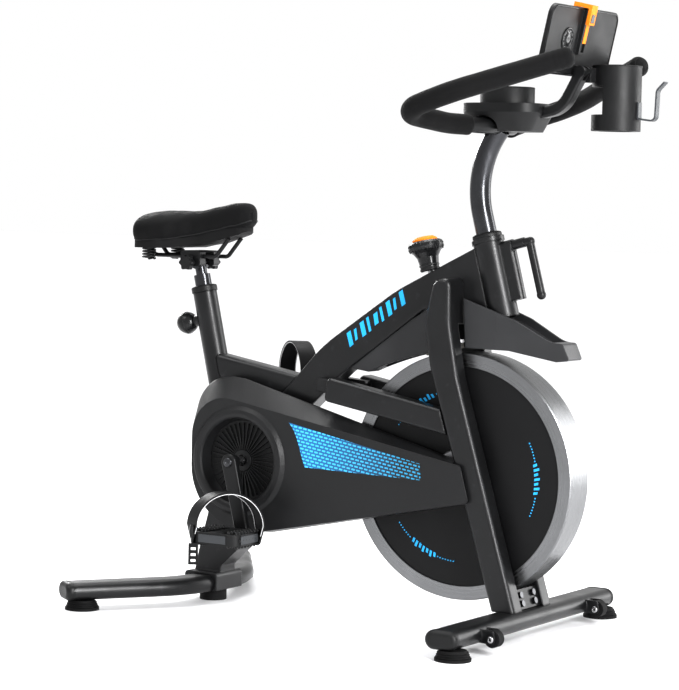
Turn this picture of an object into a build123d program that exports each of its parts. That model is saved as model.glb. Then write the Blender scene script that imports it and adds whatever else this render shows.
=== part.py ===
"""Indoor spin bike: welded frame, belt-driven flywheel, cranks, saddle, handlebar and brake.

All sizes are in millimetres. The model is drawn with the flywheel axle over the origin,
+X forward, +Y to the rider's left and +Z up from the floor. The drive side is the right,
at -Y. Every piece is moved at the end so that the origin is the middle of the base.
"""

import math
import os

from build123d import *

# ---- Fits -------------------------------------------------------------------
running_gap = 0.04        # radial clearance of a shaft in its bearing
slide_gap = 0.08          # radial clearance of a tube in its bush
body_gap = 0.3            # between pieces that move past each other

# ---- Flywheel ---------------------------------------------------------------
wheel_radius = 225
wheel_width = 70
rim_depth = 25
axle_height = 284
axle_radius = 8.5
hub_radius = 30
web_thickness = 10
cover_thickness = 3
hub_cap_radius = 52
hub_half_width = 31

# ---- Bearings, the same size in the hub and in the crank shell ---------------
bearing_outer = 19.97
bearing_inner = 8.54
bearing_width = 12

# ---- Drive ------------------------------------------------------------------
crank_behind = 448        # crank axis behind the wheel axle
crank_height = 283
crank_length = 136
crank_angle = 14          # forward of straight down
crank_outer = 120         # outer face of each crank
crank_thickness = 14
crank_eye = 16
crank_tip = 14
drive_pulley_radius = 84
wheel_pulley_radius = 17.5
pulley_middle = -56
pulley_width = 12
belt_width = 9
belt_thickness = 2.5
shell_outer = 24
shell_half = 41.5

# ---- Pedals -----------------------------------------------------------------
pedal_length = 104
pedal_width = 90
pedal_height = 22
pedal_spindle_radius = 6
pedal_inner = 126         # inner edge of the platform
strap_width = 26
strap_thickness = 2.5
strap_rise = 84
strap_clear = 6.7         # strap outside the corner it passes

# ---- Frame tubes ------------------------------------------------------------
main_tube_width = 44
top_tube_width = 40
leg_inner = 42            # inner face of each fork leg
leg_width = 34
shroud_width = 36
shroud_wall = 3
plate_height = 35
plate_thickness = 6
plate_front = 131         # front of the fork plate at its foot, clear of the wheel

# ---- Seat -------------------------------------------------------------------
seat_lean = 13.2          # back from upright
seat_tube_radius = 23
seat_tube_bore = 20
seat_tube_top = 595
seat_tube_foot = 198
seat_tube_back = 590      # axis behind the wheel axle at the top
post_radius = 16
post_wall = 2
post_below = 290          # post inside the seat tube
groove_width = 13
groove_depth = 4
clamp_height = 652
saddle_half_width = 92
rail_radius = 4
rail_spread = 21
rail_height = 664

# ---- Head and handlebar -----------------------------------------------------
head_lean = 15
head_top_x = 27
head_top_z = 716
head_length = 148
head_radius = 28
head_bore = 22
bar_post_radius = 19
bar_post_below = 138
handle_radius = 14
handle_wall = 2
grip_radius = 18.5
handle_z = 917
handle_x = 46
horn_tip = (257, 140, 1034)

# ---- Console, tablet and bottle ring ----------------------------------------
tray_length = 150
tray_width = 122
tray_low = 908
tray_high = 958
cup_outer = 49
cup_bore = 39
cup_top = 986
cup_floor = 937
stem_width = 26
stem_depth = 20
pivot_up = 12             # tablet pivot above the plate's lower edge
pivot_out = 24            # and in front of the plate
stem_pin_radius = 4
tablet_width = 264
tablet_height = 122
tablet_thickness = 7
tablet_lean = 12.5
ring_radius = 44
ring_wall = 3
ring_low = 912
ring_high = 1027
ring_x = 246
ring_y = 62

# ---- Base -------------------------------------------------------------------
base_height = 36          # middle of both stabiliser tubes
base_depth = 62
base_thickness = 33
base_wall = 2.5
front_x = 122
front_half = 300
cap_length = 14
rear_x = -557
rear_straight = 90
rear_end_x = -692
rear_end_y = 280
foot_radius = 32
front_foot = (135, 288)
rear_foot = (-676, 262)
transport_y = 205
transport_x = 170
transport_z = 30
transport_radius = 15

# ---- Brake ------------------------------------------------------------------
brake_lean = 13.7         # back from upright, towards the wheel axle
brake_gap = 6             # pad above the rim at rest
pad_thickness = 8
brake_rod_radius = 5
sleeve_radius = 12
sleeve_top = 372          # distances along the brake axis from the wheel axle
knob_bottom = 379
knob_recess = 19.5        # bore in the main tube that the pushed knob sinks into
brake_travel = 5.6
knob_top = 440

# ---- Derived places ---------------------------------------------------------
wheel_half = wheel_width / 2
leg_outer = leg_inner + leg_width
crank_x = -crank_behind
casing_back_y = -45
casing_face_y = -84
casing_wall = 3
bead_outer = 104          # ring around the round insert


def outline(corners):
    """A closed outline in X and Z, each corner given as x, z and its rounding radius."""
    points = [(x, z) for x, z, _ in corners]
    radii = [radius for _, _, radius in corners]
    return make_face(FilletPolyline(*points, radius=radii, close=True))


def slab(face, y_low, y_high):
    """An outline in X and Z made solid from y_low to y_high."""
    plane = Plane(origin=(0, y_high, 0), x_dir=(1, 0, 0), z_dir=(0, -1, 0))
    return extrude(plane * face, y_high - y_low)


def plan(face, z_low, z_high):
    """An outline in X and Y made solid from z_low to z_high."""
    return extrude(Pos(0, 0, z_low) * face, z_high - z_low)


def across(radius, y_low, y_high, x, z):
    """A cylinder along Y."""
    return Pos(x, (y_low + y_high) / 2, z) * Rot(90, 0, 0) * Cylinder(radius, y_high - y_low)


def rod(start, end, radius):
    """A cylinder from one point to another."""
    reach = Vector(*end) - Vector(*start)
    foot = Align.CENTER, Align.CENTER, Align.MIN
    return Plane(origin=start, z_dir=reach) * Cylinder(radius, reach.length, align=foot)


def mirrored(shape):
    """The same piece on the other side of the bike."""
    return mirror(shape, about=Plane.XZ)


def pair(shape):
    """A piece and its twin on the other side, as two solids."""
    return Compound(children=[shape, mirrored(shape)])


def along(start, lean, distance):
    """A point at a distance down an axis that leans back as it rises."""
    angle = math.radians(lean)
    x, z = start
    return x + math.sin(angle) * distance, 0, z - math.cos(angle) * distance


def seat_point(height):
    """The seat tube axis at a height."""
    back = math.tan(math.radians(seat_lean)) * (seat_tube_top - height)
    return -seat_tube_back + back, 0, height


def head_point(distance):
    """The head tube axis, measured down from its top."""
    return along((head_top_x, head_top_z), head_lean, distance)


def brake_point(distance):
    """The brake axis, measured out from the wheel axle."""
    angle = math.radians(brake_lean)
    return -math.sin(angle) * distance, 0, axle_height + math.cos(angle) * distance


# ---- Frame ------------------------------------------------------------------
def main_tube_outline():
    return outline([
        (20, 702, 0), (-150, 615, 380), (-305, 507, 300), (-407, 398, 220),
        (crank_x - 20, crank_height + 17, 0), (crank_x + 26, crank_height - 8, 0),
        (-361, 360, 200), (-262, 455, 220), (-92, 582, 60), (-62, 594, 30), (48, 590, 0),
    ])


def make_main_tube():
    tube = slab(main_tube_outline(), -main_tube_width / 2, main_tube_width / 2)
    arched_edges = tube.faces().filter_by(Axis.Y).edges().filter_by(GeomType.LINE, reverse=True)
    tube = fillet(arched_edges, 3)
    tube -= rod(head_point(-30), head_point(head_length + 30), head_radius)
    tube -= across(shell_outer, -60, 60, crank_x, crank_height)
    tube -= rod(brake_point(wheel_radius), brake_point(knob_top), sleeve_radius)
    tube -= rod(brake_point(knob_bottom - brake_travel - 2 * body_gap), brake_point(knob_top), knob_recess)
    return tube


def make_top_tube():
    """From the seat tube to the main tube, with rounded long edges."""
    face = outline([(-560, 481, 0), (-330, 442, 0), (-330, 395, 0), (-560, 433, 0)])
    tube = slab(face, -top_tube_width / 2, top_tube_width / 2)
    tube = fillet(tube.edges().filter_by(GeomType.LINE).filter_by(lambda edge: edge.length > 200), 10)
    tube -= slab(main_tube_outline(), -30, 30)
    return tube - rod(seat_point(seat_tube_foot), seat_point(seat_tube_top), seat_tube_radius)


def make_seat_tube():
    """Bored for the post, with a boss for the pull pin."""
    tube = rod(seat_point(seat_tube_foot), seat_point(seat_tube_top), seat_tube_radius)
    boss_end = pin_point(31)
    tube += rod(pin_point(15), boss_end, 11)
    tube -= rod(seat_point(seat_tube_foot - 20), seat_point(seat_tube_top + 20), seat_tube_bore)
    return tube - rod(pin_point(0), pin_point(60), 5 + slide_gap)


def pin_point(distance):
    """The pull pin axis, measured back from the seat tube axis."""
    angle = math.radians(seat_lean)
    x, _, z = seat_point(545)
    return x - math.cos(angle) * distance, 0, z - math.sin(angle) * distance


def make_head_tube():
    tube = rod(head_point(head_length), head_point(0), head_radius)
    tube += rod(head_point(9), head_point(0), head_radius + 2)
    tube += Plane(origin=head_point(70), z_dir=head_axis()) * Pos(34, 0, 0) * Box(26, 22, 104)
    tube += rod(lever_point(20), lever_point(49), 11)
    tube -= rod(head_point(head_length + 5), head_point(-5), head_bore)
    tube -= Plane(origin=head_point(80), z_dir=head_axis()) * Pos(40, 0, 0) * Box(26, 5, 92)
    return tube - rod(lever_point(0), lever_point(60), 5 + running_gap)


def head_axis():
    angle = math.radians(head_lean)
    return Vector(-math.sin(angle), 0, math.cos(angle))


def lever_point(distance, drop=0):
    """The clamp lever axis, measured forward from the head tube axis."""
    angle = math.radians(head_lean)
    x, _, z = head_point(24 + drop)
    return x + math.cos(angle) * distance, 0, z + math.sin(angle) * distance


def leg_outline():
    """Side view of a fork leg, from the stabiliser to its rounded top."""
    top = base_height + base_thickness / 2
    return outline([
        (91, top, 0), (-46, 480, 120), (-60, 560, 120), (-42, 640, 20),
        (-8, 645, 14), (-6, 560, 120), (12, 465, 100), (139, top, 0),
    ])


def leg_envelope():
    return slab(leg_outline(), -leg_outer - 1.5, -leg_inner + 1)


def make_fork_legs():
    leg = slab(leg_outline(), -leg_outer, -leg_inner)
    front = leg.edges().filter_by(lambda edge: edge.center().X > -30 and edge.center().Z > 70)
    outer = front.filter_by(lambda edge: abs(edge.center().Y + leg_outer) < 1)
    leg = fillet(outer.filter_by(lambda edge: edge.center().X > leg_front(edge) - 12), 9)
    joint = slab(leg_outline(), -leg_inner, -main_tube_width / 2)
    joint &= Pos(0, 0, 680) * Box(400, 400, 240)
    relief = wheel_pulley_radius + belt_thickness + 3
    right = leg + joint
    left = mirrored(right)
    right -= across(relief, pulley_middle - pulley_width / 2 - 2, -leg_inner + 1, 0, axle_height)
    return Compound(children=[right, left])


def leg_front(edge):
    """Where a fork leg's front face is at an edge's height."""
    return -8 if edge.center().Z > 500 else 150 - edge.center().Z * 0.3


def make_side_bars():
    face = outline([(-262, 451, 9), (-10, 405, 0), (0, 360, 0), (-268, 407, 9)])
    bar = slab(face, -leg_outer, -leg_inner)
    long_edges = bar.edges().filter_by(lambda edge: edge.length > 150)
    bar = fillet(long_edges, 5)
    bar -= slab(leg_outline(), -leg_outer - 5, -leg_inner + 5)
    bridge = outline([(-306, 447, 6), (-236, 441, 6), (-236, 412, 6), (-306, 422, 6)])
    return pair(bar + slab(bridge, -leg_inner, -main_tube_width / 2))


def make_crank_shell():
    shell = across(shell_outer, -shell_half, shell_half, crank_x, crank_height)
    gusset = outline([
        (-520, 300, 0), (crank_x, 303, 0), (crank_x, 263, 0), (-520, 268, 0),
    ])
    shell += slab(gusset, -18, 18) - slab(main_tube_outline(), -30, 30)
    shell -= rod(seat_point(seat_tube_foot), seat_point(seat_tube_top), seat_tube_radius)
    shell -= slab(outline([(-620, 350, 0), (-512, 350, 0), (-512, 200, 0), (-620, 200, 0)]), -30, 30)
    shell -= across(bearing_outer - 2, -60, 60, crank_x, crank_height)
    for side in (-1, 1):
        middle = side * (shell_half - bearing_width / 2)
        pocket = bearing_width / 2
        shell -= across(bearing_outer, middle - pocket, middle + pocket, crank_x, crank_height)
    return shell


def make_rear_leg():
    """Tapered plate box over a saddle that holds the rear stabiliser."""
    top = seat_tube_foot
    face = outline([
        (-548, top, 0), (-486, top, 0), (-482, 108, 22), (-524, 70, 12),
        (-526, base_height - 8, 0), (-590, base_height - 8, 0), (-572, 110, 60),
    ])
    leg = slab(face, -25, 25)
    saddle = outline([(-594, 22, 4), (-594, 58, 8), (-520, 58, 8), (-520, 22, 4)])
    leg += slab(saddle, -44, 44)
    leg -= rod(seat_point(seat_tube_foot), seat_point(seat_tube_top), seat_tube_radius)
    return leg - Pos(0, 0, base_height) * rear_core(base_depth, base_thickness)


def rear_path():
    return FilletPolyline(
        (rear_end_x, -rear_end_y, 0), (rear_x, -rear_straight, 0),
        (rear_x, rear_straight, 0), (rear_end_x, rear_end_y, 0),
        radius=[170, 170],
    )


def rear_core(depth, thickness):
    """The rear stabiliser's path filled with its oval section."""
    path = rear_path()
    section = Plane(origin=path @ 0, x_dir=(0, 0, 1), z_dir=path % 0)
    return sweep(section * SlotOverall(depth, thickness, rotation=90), path=path)


def make_rear_stabilizer():
    outer = rear_core(base_depth, base_thickness)
    inner = rear_core(base_depth - 2 * base_wall, base_thickness - 2 * base_wall)
    tube = Pos(0, 0, base_height) * (outer - inner)
    for x, y in rear_feet():
        tube -= Pos(x, y, 20) * Cylinder(5, 20)
    return tube


def oval_bar(depth, thickness, y_low, y_high, x):
    section = Plane(origin=(x, y_low, base_height), x_dir=(1, 0, 0), z_dir=(0, 1, 0))
    return extrude(section * SlotOverall(depth, thickness), y_high - y_low)


def make_front_stabilizer():
    """Oval tube with a bracket and axle for each transport wheel."""
    tube = oval_bar(base_depth, base_thickness, -front_half, front_half, front_x)
    for side in (-1, 1):
        for offset in (-12, 12):
            y = side * transport_y + offset
            bracket = outline([
                (front_x + 20, 46, 2), (transport_x + 6, 46, 8),
                (transport_x + 9, transport_z - 9, 8), (front_x + 20, 23, 2),
            ])
            tube += slab(bracket, y - 1.5, y + 1.5)
        y = side * transport_y
        tube += across(3, y - 16, y + 16, transport_x, transport_z)
    tube -= oval_bar(
        base_depth - 2 * base_wall, base_thickness - 2 * base_wall,
        -front_half - 1, front_half + 1, front_x,
    )
    for x, y in front_feet():
        tube -= Pos(x, y, 20) * Cylinder(5, 20)
    return tube


def front_feet():
    x, y = front_foot
    return [(x, -y), (x, y)]


def rear_feet():
    x, y = rear_foot
    return [(x, -y), (x, y)]


def make_end_caps():
    caps = []
    for side in (-1, 1):
        low, high = sorted((side * front_half, side * (front_half + cap_length)))
        cap = oval_bar(base_depth + 1, base_thickness + 1, low, high, front_x)
        outer_face = cap.faces().sort_by(Axis.Y)[-1 if side > 0 else 0]
        caps.append(fillet(outer_face.edges(), 9))
    path = rear_path()
    for end, heading in ((path @ 0, path % 0 * -1), (path @ 1, path % 1)):
        section = Plane(origin=end + Vector(0, 0, base_height), x_dir=(0, 0, 1), z_dir=heading)
        cap = extrude(section * SlotOverall(base_depth + 1, base_thickness + 1, rotation=90), cap_length)
        outer_face = cap.faces().sort_by(Axis(end, heading))[-1]
        caps.append(fillet(outer_face.edges(), 9))
    return Compound(children=caps)


def make_feet():
    """Rubber pads with their studs: two in front, three behind."""
    feet = []
    underside = base_height - base_thickness / 2
    for x, y in front_feet() + rear_feet():
        foot = Cylinder(foot_radius, 5, align=(Align.CENTER, Align.CENTER, Align.MIN))
        foot += Pos(0, 0, 4) * Cone(foot_radius - 3, foot_radius - 8, underside - 5,
                                    align=(Align.CENTER, Align.CENTER, Align.MIN))
        foot += Cylinder(5, underside + 6, align=(Align.CENTER, Align.CENTER, Align.MIN))
        feet.append(Pos(x, y, 0) * foot)
    middle = Cylinder(26, underside, align=(Align.CENTER, Align.CENTER, Align.MIN))
    feet.append(Pos(rear_x, 0, 0) * middle)
    return Compound(children=feet)


def make_transport_wheel(side):
    y = side * transport_y
    wheel = across(transport_radius, y - 9, y + 9, transport_x, transport_z)
    return wheel - across(3 + running_gap, y - 10, y + 10, transport_x, transport_z)


def fork_plate_slope():
    return (139 - 12) / (465 - 52)


def make_fork_plate():
    """Bolted plate that ties the legs together over the stabiliser."""
    slope = fork_plate_slope()
    low = base_height + base_thickness / 2 + 1
    high = low + plate_height
    x = plate_front - plate_thickness
    top_x = x - slope * (high - low)
    face = outline([
        (x, low, 0), (plate_front, low, 0), (top_x + plate_thickness, high, 0), (top_x, high, 0),
    ])
    plate = slab(face, -leg_inner, leg_inner)
    for bolt_x, y, z in plate_bolts():
        plate -= plate_rod(bolt_x, y, z, -20, 20, 4)
    return plate


def plate_bolts():
    slope = fork_plate_slope()
    foot = base_height + base_thickness / 2 + 1
    places = []
    for y, rise in ((-24, 10), (-24, 25), (24, 10), (24, 25)):
        places.append((plate_front - slope * rise, y, foot + rise))
    return places


def plate_rod(x, y, z, low, high, radius):
    """A cylinder square to the fork plate."""
    angle = math.atan(fork_plate_slope())
    start = (x + math.cos(angle) * low, y, z + math.sin(angle) * low)
    end = (x + math.cos(angle) * high, y, z + math.sin(angle) * high)
    return rod(start, end, radius)


def make_plate_bolts():
    bolts = []
    for x, y, z in plate_bolts():
        bolts.append(plate_rod(x, y, z, -7, 1, 4) + plate_rod(x, y, z, 0, 5, 6))
    return Compound(children=bolts)


def make_dropouts():
    """Plates behind the legs that hold the wheel axle."""
    face = outline([(-34, 307, 10), (14, 307, 0), (34, 244, 0), (-34, 246, 16)])
    plates = []
    for low, high in ((-72, -66), (leg_inner, leg_inner + 6)):
        plate = slab(face, low, high)
        plate -= slab(leg_outline(), low - 1, high + 1)
        plates.append(plate - across(axle_radius, low - 1, high + 1, 0, axle_height))
    return Compound(children=plates)


# ---- Wheel cover panels -----------------------------------------------------
def make_shroud():
    """Panel that fills the space between the main tube and the wheel."""
    lower = ThreePointArc((-206, 462), (-115, 495), (-40, 512))
    edges = [
        lower,
        Line((-40, 512), (-40, 610)),
        Line((-40, 610), (-270, 470)),
        Line((-270, 470), (-206, 462)),
    ]
    panel = slab(make_face(edges), -shroud_width / 2, shroud_width / 2)
    hollow = outline([
        (-196, 440, 0), (-180, 490, 0), (-80, 555, 0), (-30, 590, 0), (-30, 440, 0),
    ])
    inner = shroud_width / 2 - shroud_wall
    panel -= slab(hollow, -inner, inner)
    panel -= slab(main_tube_outline(), -40, 40)
    return panel - rod(brake_point(wheel_radius), brake_point(knob_top), sleeve_radius)


def fender_plan(inset):
    """Half width of the fender, narrower towards its tip."""
    half = 40 - inset
    tip = 25 - inset
    return make_face(Polyline(
        (-30, -half), (70, -half), (220, -tip), (220, tip), (70, half), (-30, half), close=True,
    ))


def make_fender():
    """Hollow peak over the front of the wheel, with a trough on top."""
    body = slab(outline([
        (2, 607, 0), (61, 588, 30), (103, 573, 60), (174, 535, 60), (197, 534, 6),
        (211, 504, 4), (186, 501, 0), (95, 517, 0), (8, 518, 0),
    ]), -50, 50)
    body &= plan(fender_plan(0), 480, 640)
    trough = outline([
        (-10, 640, 0), (-10, 596, 0), (61, 573, 30), (103, 558, 60), (172, 521, 4),
        (184, 545, 4), (184, 640, 0),
    ])
    body -= slab(trough, -60, 60) & plan(fender_plan(4), 470, 650)
    pocket = outline([
        (-10, 592, 0), (61, 569, 30), (103, 554, 60), (166, 521, 4), (178, 495, 0),
        (170, 470, 0), (-10, 470, 0),
    ])
    body -= slab(pocket, -60, 60) & plan(fender_plan(4), 460, 650)
    body -= rod(head_point(-10), head_point(head_length + 0.2), head_radius + 0.2)
    body -= Plane(origin=head_point(70), z_dir=head_axis()) * Pos(34, 0, 0) * Box(26.4, 22.4, 104.4)
    body -= slab(leg_outline(), -80, 80)
    body -= slab(main_tube_outline(), -main_tube_width / 2 - 0.2, main_tube_width / 2 + 0.2)
    return body


# ---- Casing -----------------------------------------------------------------
def casing_outline(inset=0):
    """Side view of the casing at its back edge."""
    left = -572 + inset
    top = 446 - inset
    low = 148 + inset
    return outline([
        (left, top, 78), (-462, 436 - inset, 60), (12 - inset, 311 - inset, 6),
        (32 - inset, 238 + inset, 8), (-395, low, 60), (left, low, 124),
    ])


def casing_face_outline(inset=0):
    """Side view of the casing's outer face."""
    left = -556 + inset
    low = 153 + inset
    return outline([
        (left, 412 - inset, 74), (-440, 394 - inset, 60), (28 - inset, 309 - inset, 6),
        (47 - inset, 243 + inset, 8), (-395, low, 60), (left, low, 118),
    ])


def casing_loft(inset, back, face):
    planes = []
    for y, shape in ((back, casing_outline(inset)), (face, casing_face_outline(inset))):
        plane = Plane(origin=(0, y, 0), x_dir=(1, 0, 0), z_dir=(0, -1, 0))
        planes.append(plane * shape)
    return loft(planes, ruled=True)


def ring_solid(corners, x, z):
    """A turned ring about Y, its section given as radius and y."""
    face = make_face(Polyline(*[(radius, y) for radius, y in corners], close=True))
    return Pos(x, 0, z) * revolve(face, Axis.Y)


def make_casing_cover():
    cover = casing_loft(0, casing_back_y, casing_face_y)
    cover -= casing_loft(casing_wall, casing_back_y + 0.1, casing_face_y + casing_wall)
    cover -= across(bead_outer - 2, casing_face_y - 10, casing_face_y + 8, crank_x, crank_height)
    bead = ring_solid([
        (bead_radius(-63), -63), (bead_radius(-88), -88), (84, -91), (90, -92), (97, -91),
        (bead_outer, casing_face_y), (bead_outer, casing_face_y + casing_wall), (96, -88), (87, -88),
        (84, -85),
        (78, -63),
    ], crank_x, crank_height)
    return (cover + bead) - leg_envelope()


def bead_radius(y):
    """Inner radius of the ring around the round insert, wider towards its face."""
    return 75 - (y + 63) * 0.24


def make_casing_back():
    back = slab(casing_outline(0), casing_back_y, casing_back_y + casing_wall)
    back -= across(bearing_inner + 4, -60, -30, crank_x, crank_height)
    back -= across(22, -60, -30, 0, axle_height)
    return back - leg_envelope()


def make_finned_disc():
    """Round insert with radial fins, in the casing's recess."""
    disc = ring_solid([(0, -63), (0, -66), (bead_radius(-66), -66), (bead_radius(-63), -63)],
                      crank_x, crank_height)
    fins = 40
    for index in range(fins):
        fin = Pos(46, 0, 0) * Box(50, 5, 1.6)
        disc += Pos(crank_x, -68, crank_height) * Rot(0, index * 360 / fins, 0) * fin
    disc += across(20, -72, -63, crank_x, crank_height)
    return disc - across(axle_radius + 2, -80, -50, crank_x, crank_height)


# ---- Drive ------------------------------------------------------------------
def crank_end(side):
    """Pedal axis of a crank: the right one points down, the left one up."""
    angle = math.radians(crank_angle)
    return (
        crank_x - side * crank_length * math.sin(angle),
        crank_height + side * crank_length * math.cos(angle),
    )


def make_bearings():
    bearings = []
    hub_middle = hub_half_width - bearing_width / 2
    shell_middle = shell_half - bearing_width / 2
    for x, z, middle in ((0, axle_height, hub_middle), (crank_x, crank_height, shell_middle)):
        for side in (-1, 1):
            low = side * middle - bearing_width / 2
            high = side * middle + bearing_width / 2
            ring = across(bearing_outer, low, high, x, z)
            bearings.append(ring - across(bearing_inner, low - 1, high + 1, x, z))
    return Compound(children=bearings)


def make_spindle():
    return across(axle_radius, -crank_outer, crank_outer, crank_x, crank_height)


def make_drive_pulley():
    low = pulley_middle - pulley_width / 2
    high = pulley_middle + pulley_width / 2
    pulley = across(drive_pulley_radius, low, high, crank_x, crank_height)
    pulley -= across(drive_pulley_radius - 8, low - 1, low + 4, crank_x, crank_height)
    pulley += across(18, low, high, crank_x, crank_height)
    for index in range(5):
        angle = math.radians(72 * index)
        x = crank_x + 48 * math.cos(angle)
        pulley -= across(17, -80, -40, x, crank_height + 48 * math.sin(angle))
    return pulley - across(axle_radius, -80, -40, crank_x, crank_height)


def belt_face(extra):
    """The area inside a belt that passes around both pulleys."""
    circles = [
        Pos(crank_x, crank_height) * Circle(drive_pulley_radius + extra),
        Pos(0, axle_height) * Circle(wheel_pulley_radius + extra),
    ]
    return make_hull([edge for circle in circles for edge in circle.edges()])


def make_belt():
    loop = belt_face(body_gap + belt_thickness) - belt_face(body_gap)
    return slab(loop, pulley_middle - belt_width / 2, pulley_middle + belt_width / 2)


def make_crank(side):
    """Forged arm from the spindle to the pedal, rounded along its edges."""
    tip_x, tip_z = crank_end(side)
    circles = Pos(crank_x, crank_height) * Circle(crank_eye) + Pos(tip_x, tip_z) * Circle(crank_tip)
    face = make_hull(circles.edges())
    inner = crank_outer - crank_thickness
    low, high = sorted((side * inner, side * crank_outer))
    arm = slab(face, low, high)
    arm = fillet(arm.faces().filter_by(Axis.Y).edges(), 3.5)
    arm += across(crank_eye - 3, *sorted((side * (inner - 8), side * inner)), crank_x, crank_height)
    arm -= across(axle_radius, -150, 150, crank_x, crank_height)
    return arm - across(pedal_spindle_radius, -150, 150, tip_x, tip_z)


def make_pedal_spindles():
    spindles = []
    for side in (-1, 1):
        x, z = crank_end(side)
        inner = crank_outer - crank_thickness
        low, high = sorted((side * inner, side * (pedal_inner + pedal_width - 8)))
        spindles.append(across(pedal_spindle_radius, low, high, x, z))
    return Compound(children=spindles)


def make_pedal(side):
    """Cage platform around a barrel that turns on the spindle."""
    x, z = crank_end(side)
    middle = side * (pedal_inner + pedal_width / 2)
    outer = RectangleRounded(pedal_length, pedal_width, 20)
    window = RectangleRounded(pedal_length / 2 - 18, pedal_width - 20, 6)
    frame = outer - Pos(-pedal_length / 4 - 2, 0) * window - Pos(pedal_length / 4 + 2, 0) * window
    body = Pos(x, middle, z) * plan(frame, -pedal_height / 2, pedal_height / 2)
    low, high = sorted((side * pedal_inner, side * (pedal_inner + pedal_width)))
    body += across(11.5, low, high, x, z)
    for offset in (-pedal_length / 4 - 2, pedal_length / 4 + 2):
        body += Pos(x + offset, middle, z) * Box(5, pedal_width - 12, pedal_height - 6)
    end_low, end_high = sorted((side * (pedal_inner - 2), side * (pedal_inner + pedal_width - 7)))
    return body - across(pedal_spindle_radius + running_gap, end_low, end_high, x, z)


def make_strap(side):
    """Toe strap arched corner to corner over the pedal, with a free tail."""
    x, z = crank_end(side)
    middle = side * (pedal_inner + pedal_width / 2)
    heading = math.degrees(math.atan2(pedal_width - 20, pedal_length - 12))
    reach = math.hypot(pedal_length - 12, pedal_width - 20) / 2 + strap_clear
    under = -pedal_height / 2 - strap_thickness
    crown = strap_rise - reach
    outer = strap_face(reach, under, crown)
    band = outer - strap_face(reach - strap_thickness, under + strap_thickness, crown)
    strap = Rot(90, 0, 0) * extrude(band, strap_width / 2, both=True)
    tail = Pos(-reach + strap_thickness / 2, 0, -30) * Box(strap_thickness, strap_width - 8, 44)
    return Pos(x, middle, z) * Rot(0, 0, -side * heading) * (strap + tail)


def strap_face(reach, low, crown):
    """Area inside a strap: straight sides under a round top."""
    sides = Pos(0, (low + crown) / 2) * Rectangle(2 * reach, crown - low)
    return sides + Pos(0, crown) * Circle(reach)


def make_rim():
    low = wheel_radius - rim_depth
    edge = wheel_half - 2
    return ring_solid([
        (low, -wheel_half), (wheel_radius - 2, -wheel_half), (wheel_radius, -edge),
        (wheel_radius, edge), (wheel_radius - 2, wheel_half), (low, wheel_half),
    ], 0, axle_height)


def make_web():
    """Cast web and hub, bored for the two bearings."""
    web = across(wheel_radius - rim_depth, -web_thickness / 2, web_thickness / 2, 0, axle_height)
    web += across(hub_radius, -hub_half_width, hub_half_width, 0, axle_height)
    web -= across(bearing_outer - 3, -50, 50, 0, axle_height)
    for side in (-1, 1):
        middle = side * (hub_half_width - bearing_width / 2)
        low, high = middle - bearing_width / 2 - 0.2, middle + bearing_width / 2 + 0.2
        web -= across(bearing_outer + running_gap, low, high, 0, axle_height)
    return web


def make_wheel_covers():
    """Dark round panels that close the wheel on both sides."""
    covers = []
    for side in (-1, 1):
        low, high = sorted((side * (wheel_half - 3), side * (wheel_half - 3 - cover_thickness)))
        cover = across(wheel_radius - rim_depth, low, high, 0, axle_height)
        low, high = sorted((side * (wheel_half - 3), side * (wheel_half + 2)))
        cover += across(hub_cap_radius, low, high, 0, axle_height)
        covers.append(cover - across(hub_radius, -50, 50, 0, axle_height))
    return Compound(children=covers)


def make_wheel_pulley():
    """Small pulley on a sleeve that is fixed to the hub."""
    low = pulley_middle - pulley_width / 2
    high = pulley_middle + pulley_width / 2
    pulley = across(wheel_pulley_radius, low, high, 0, axle_height)
    pulley += across(14, high, -hub_half_width, 0, axle_height)
    pulley += across(hub_radius - 0.5, -hub_half_width - 2, -hub_half_width, 0, axle_height)
    pulley -= across(bearing_outer + 1, -hub_half_width - 0.5, -hub_half_width, 0, axle_height)
    return pulley - across(axle_radius + 2, -80, -20, 0, axle_height)


def make_axle():
    """Through axle with its nuts outside the plates."""
    axle = across(axle_radius, -79, leg_inner + 14, 0, axle_height)
    axle += across(14, -79, -72, 0, axle_height)
    return axle + across(14, leg_inner + 6, leg_inner + 13, 0, axle_height)


# ---- Brake ------------------------------------------------------------------
def make_brake_sleeve():
    sleeve = rod(brake_point(262), brake_point(sleeve_top), sleeve_radius)
    return sleeve - rod(brake_point(250), brake_point(sleeve_top + 5), brake_rod_radius + slide_gap)


def pad_face():
    return wheel_radius + brake_gap


def make_brake_pad():
    """Felt block, hollowed to the wheel's radius."""
    angle = Rot(0, -brake_lean, 0)
    block = Pos(0, 0, pad_face() + pad_thickness / 2 - 2) * Box(66, 27, pad_thickness + 4)
    pad = Pos(0, 0, axle_height) * angle * block
    return pad - across(pad_face(), -50, 50, 0, axle_height)


def make_brake_rod():
    """Threaded rod with the shoe that carries the pad."""
    shoe_low = pad_face() + pad_thickness
    stem = rod(brake_point(shoe_low + 3), brake_point(knob_bottom), brake_rod_radius)
    shoe = Pos(0, 0, shoe_low + 3) * Box(70, 28, 6)
    stem += Pos(0, 0, axle_height) * Rot(0, -brake_lean, 0) * shoe
    stem += rod(brake_point(knob_bottom), brake_point(knob_top - 16), brake_rod_radius)
    return stem


def make_knob():
    """Mushroom knob over a collar, turned about the brake axis."""
    start = Plane(origin=brake_point(knob_bottom), z_dir=brake_axis())
    profile = make_face(Polyline(
        (0, 0), (17, 0), (18, 14), (20, 26), (25, 34), (31, 40), (33, 46), (32, 52),
        (28, 56), (0, 56), close=True,
    ))
    knob = start * revolve(Rot(90, 0, 0) * profile, Axis.Z)
    knob -= rod(brake_point(knob_bottom - 1), brake_point(knob_top - 15.5), brake_rod_radius + running_gap)
    return knob


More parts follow.
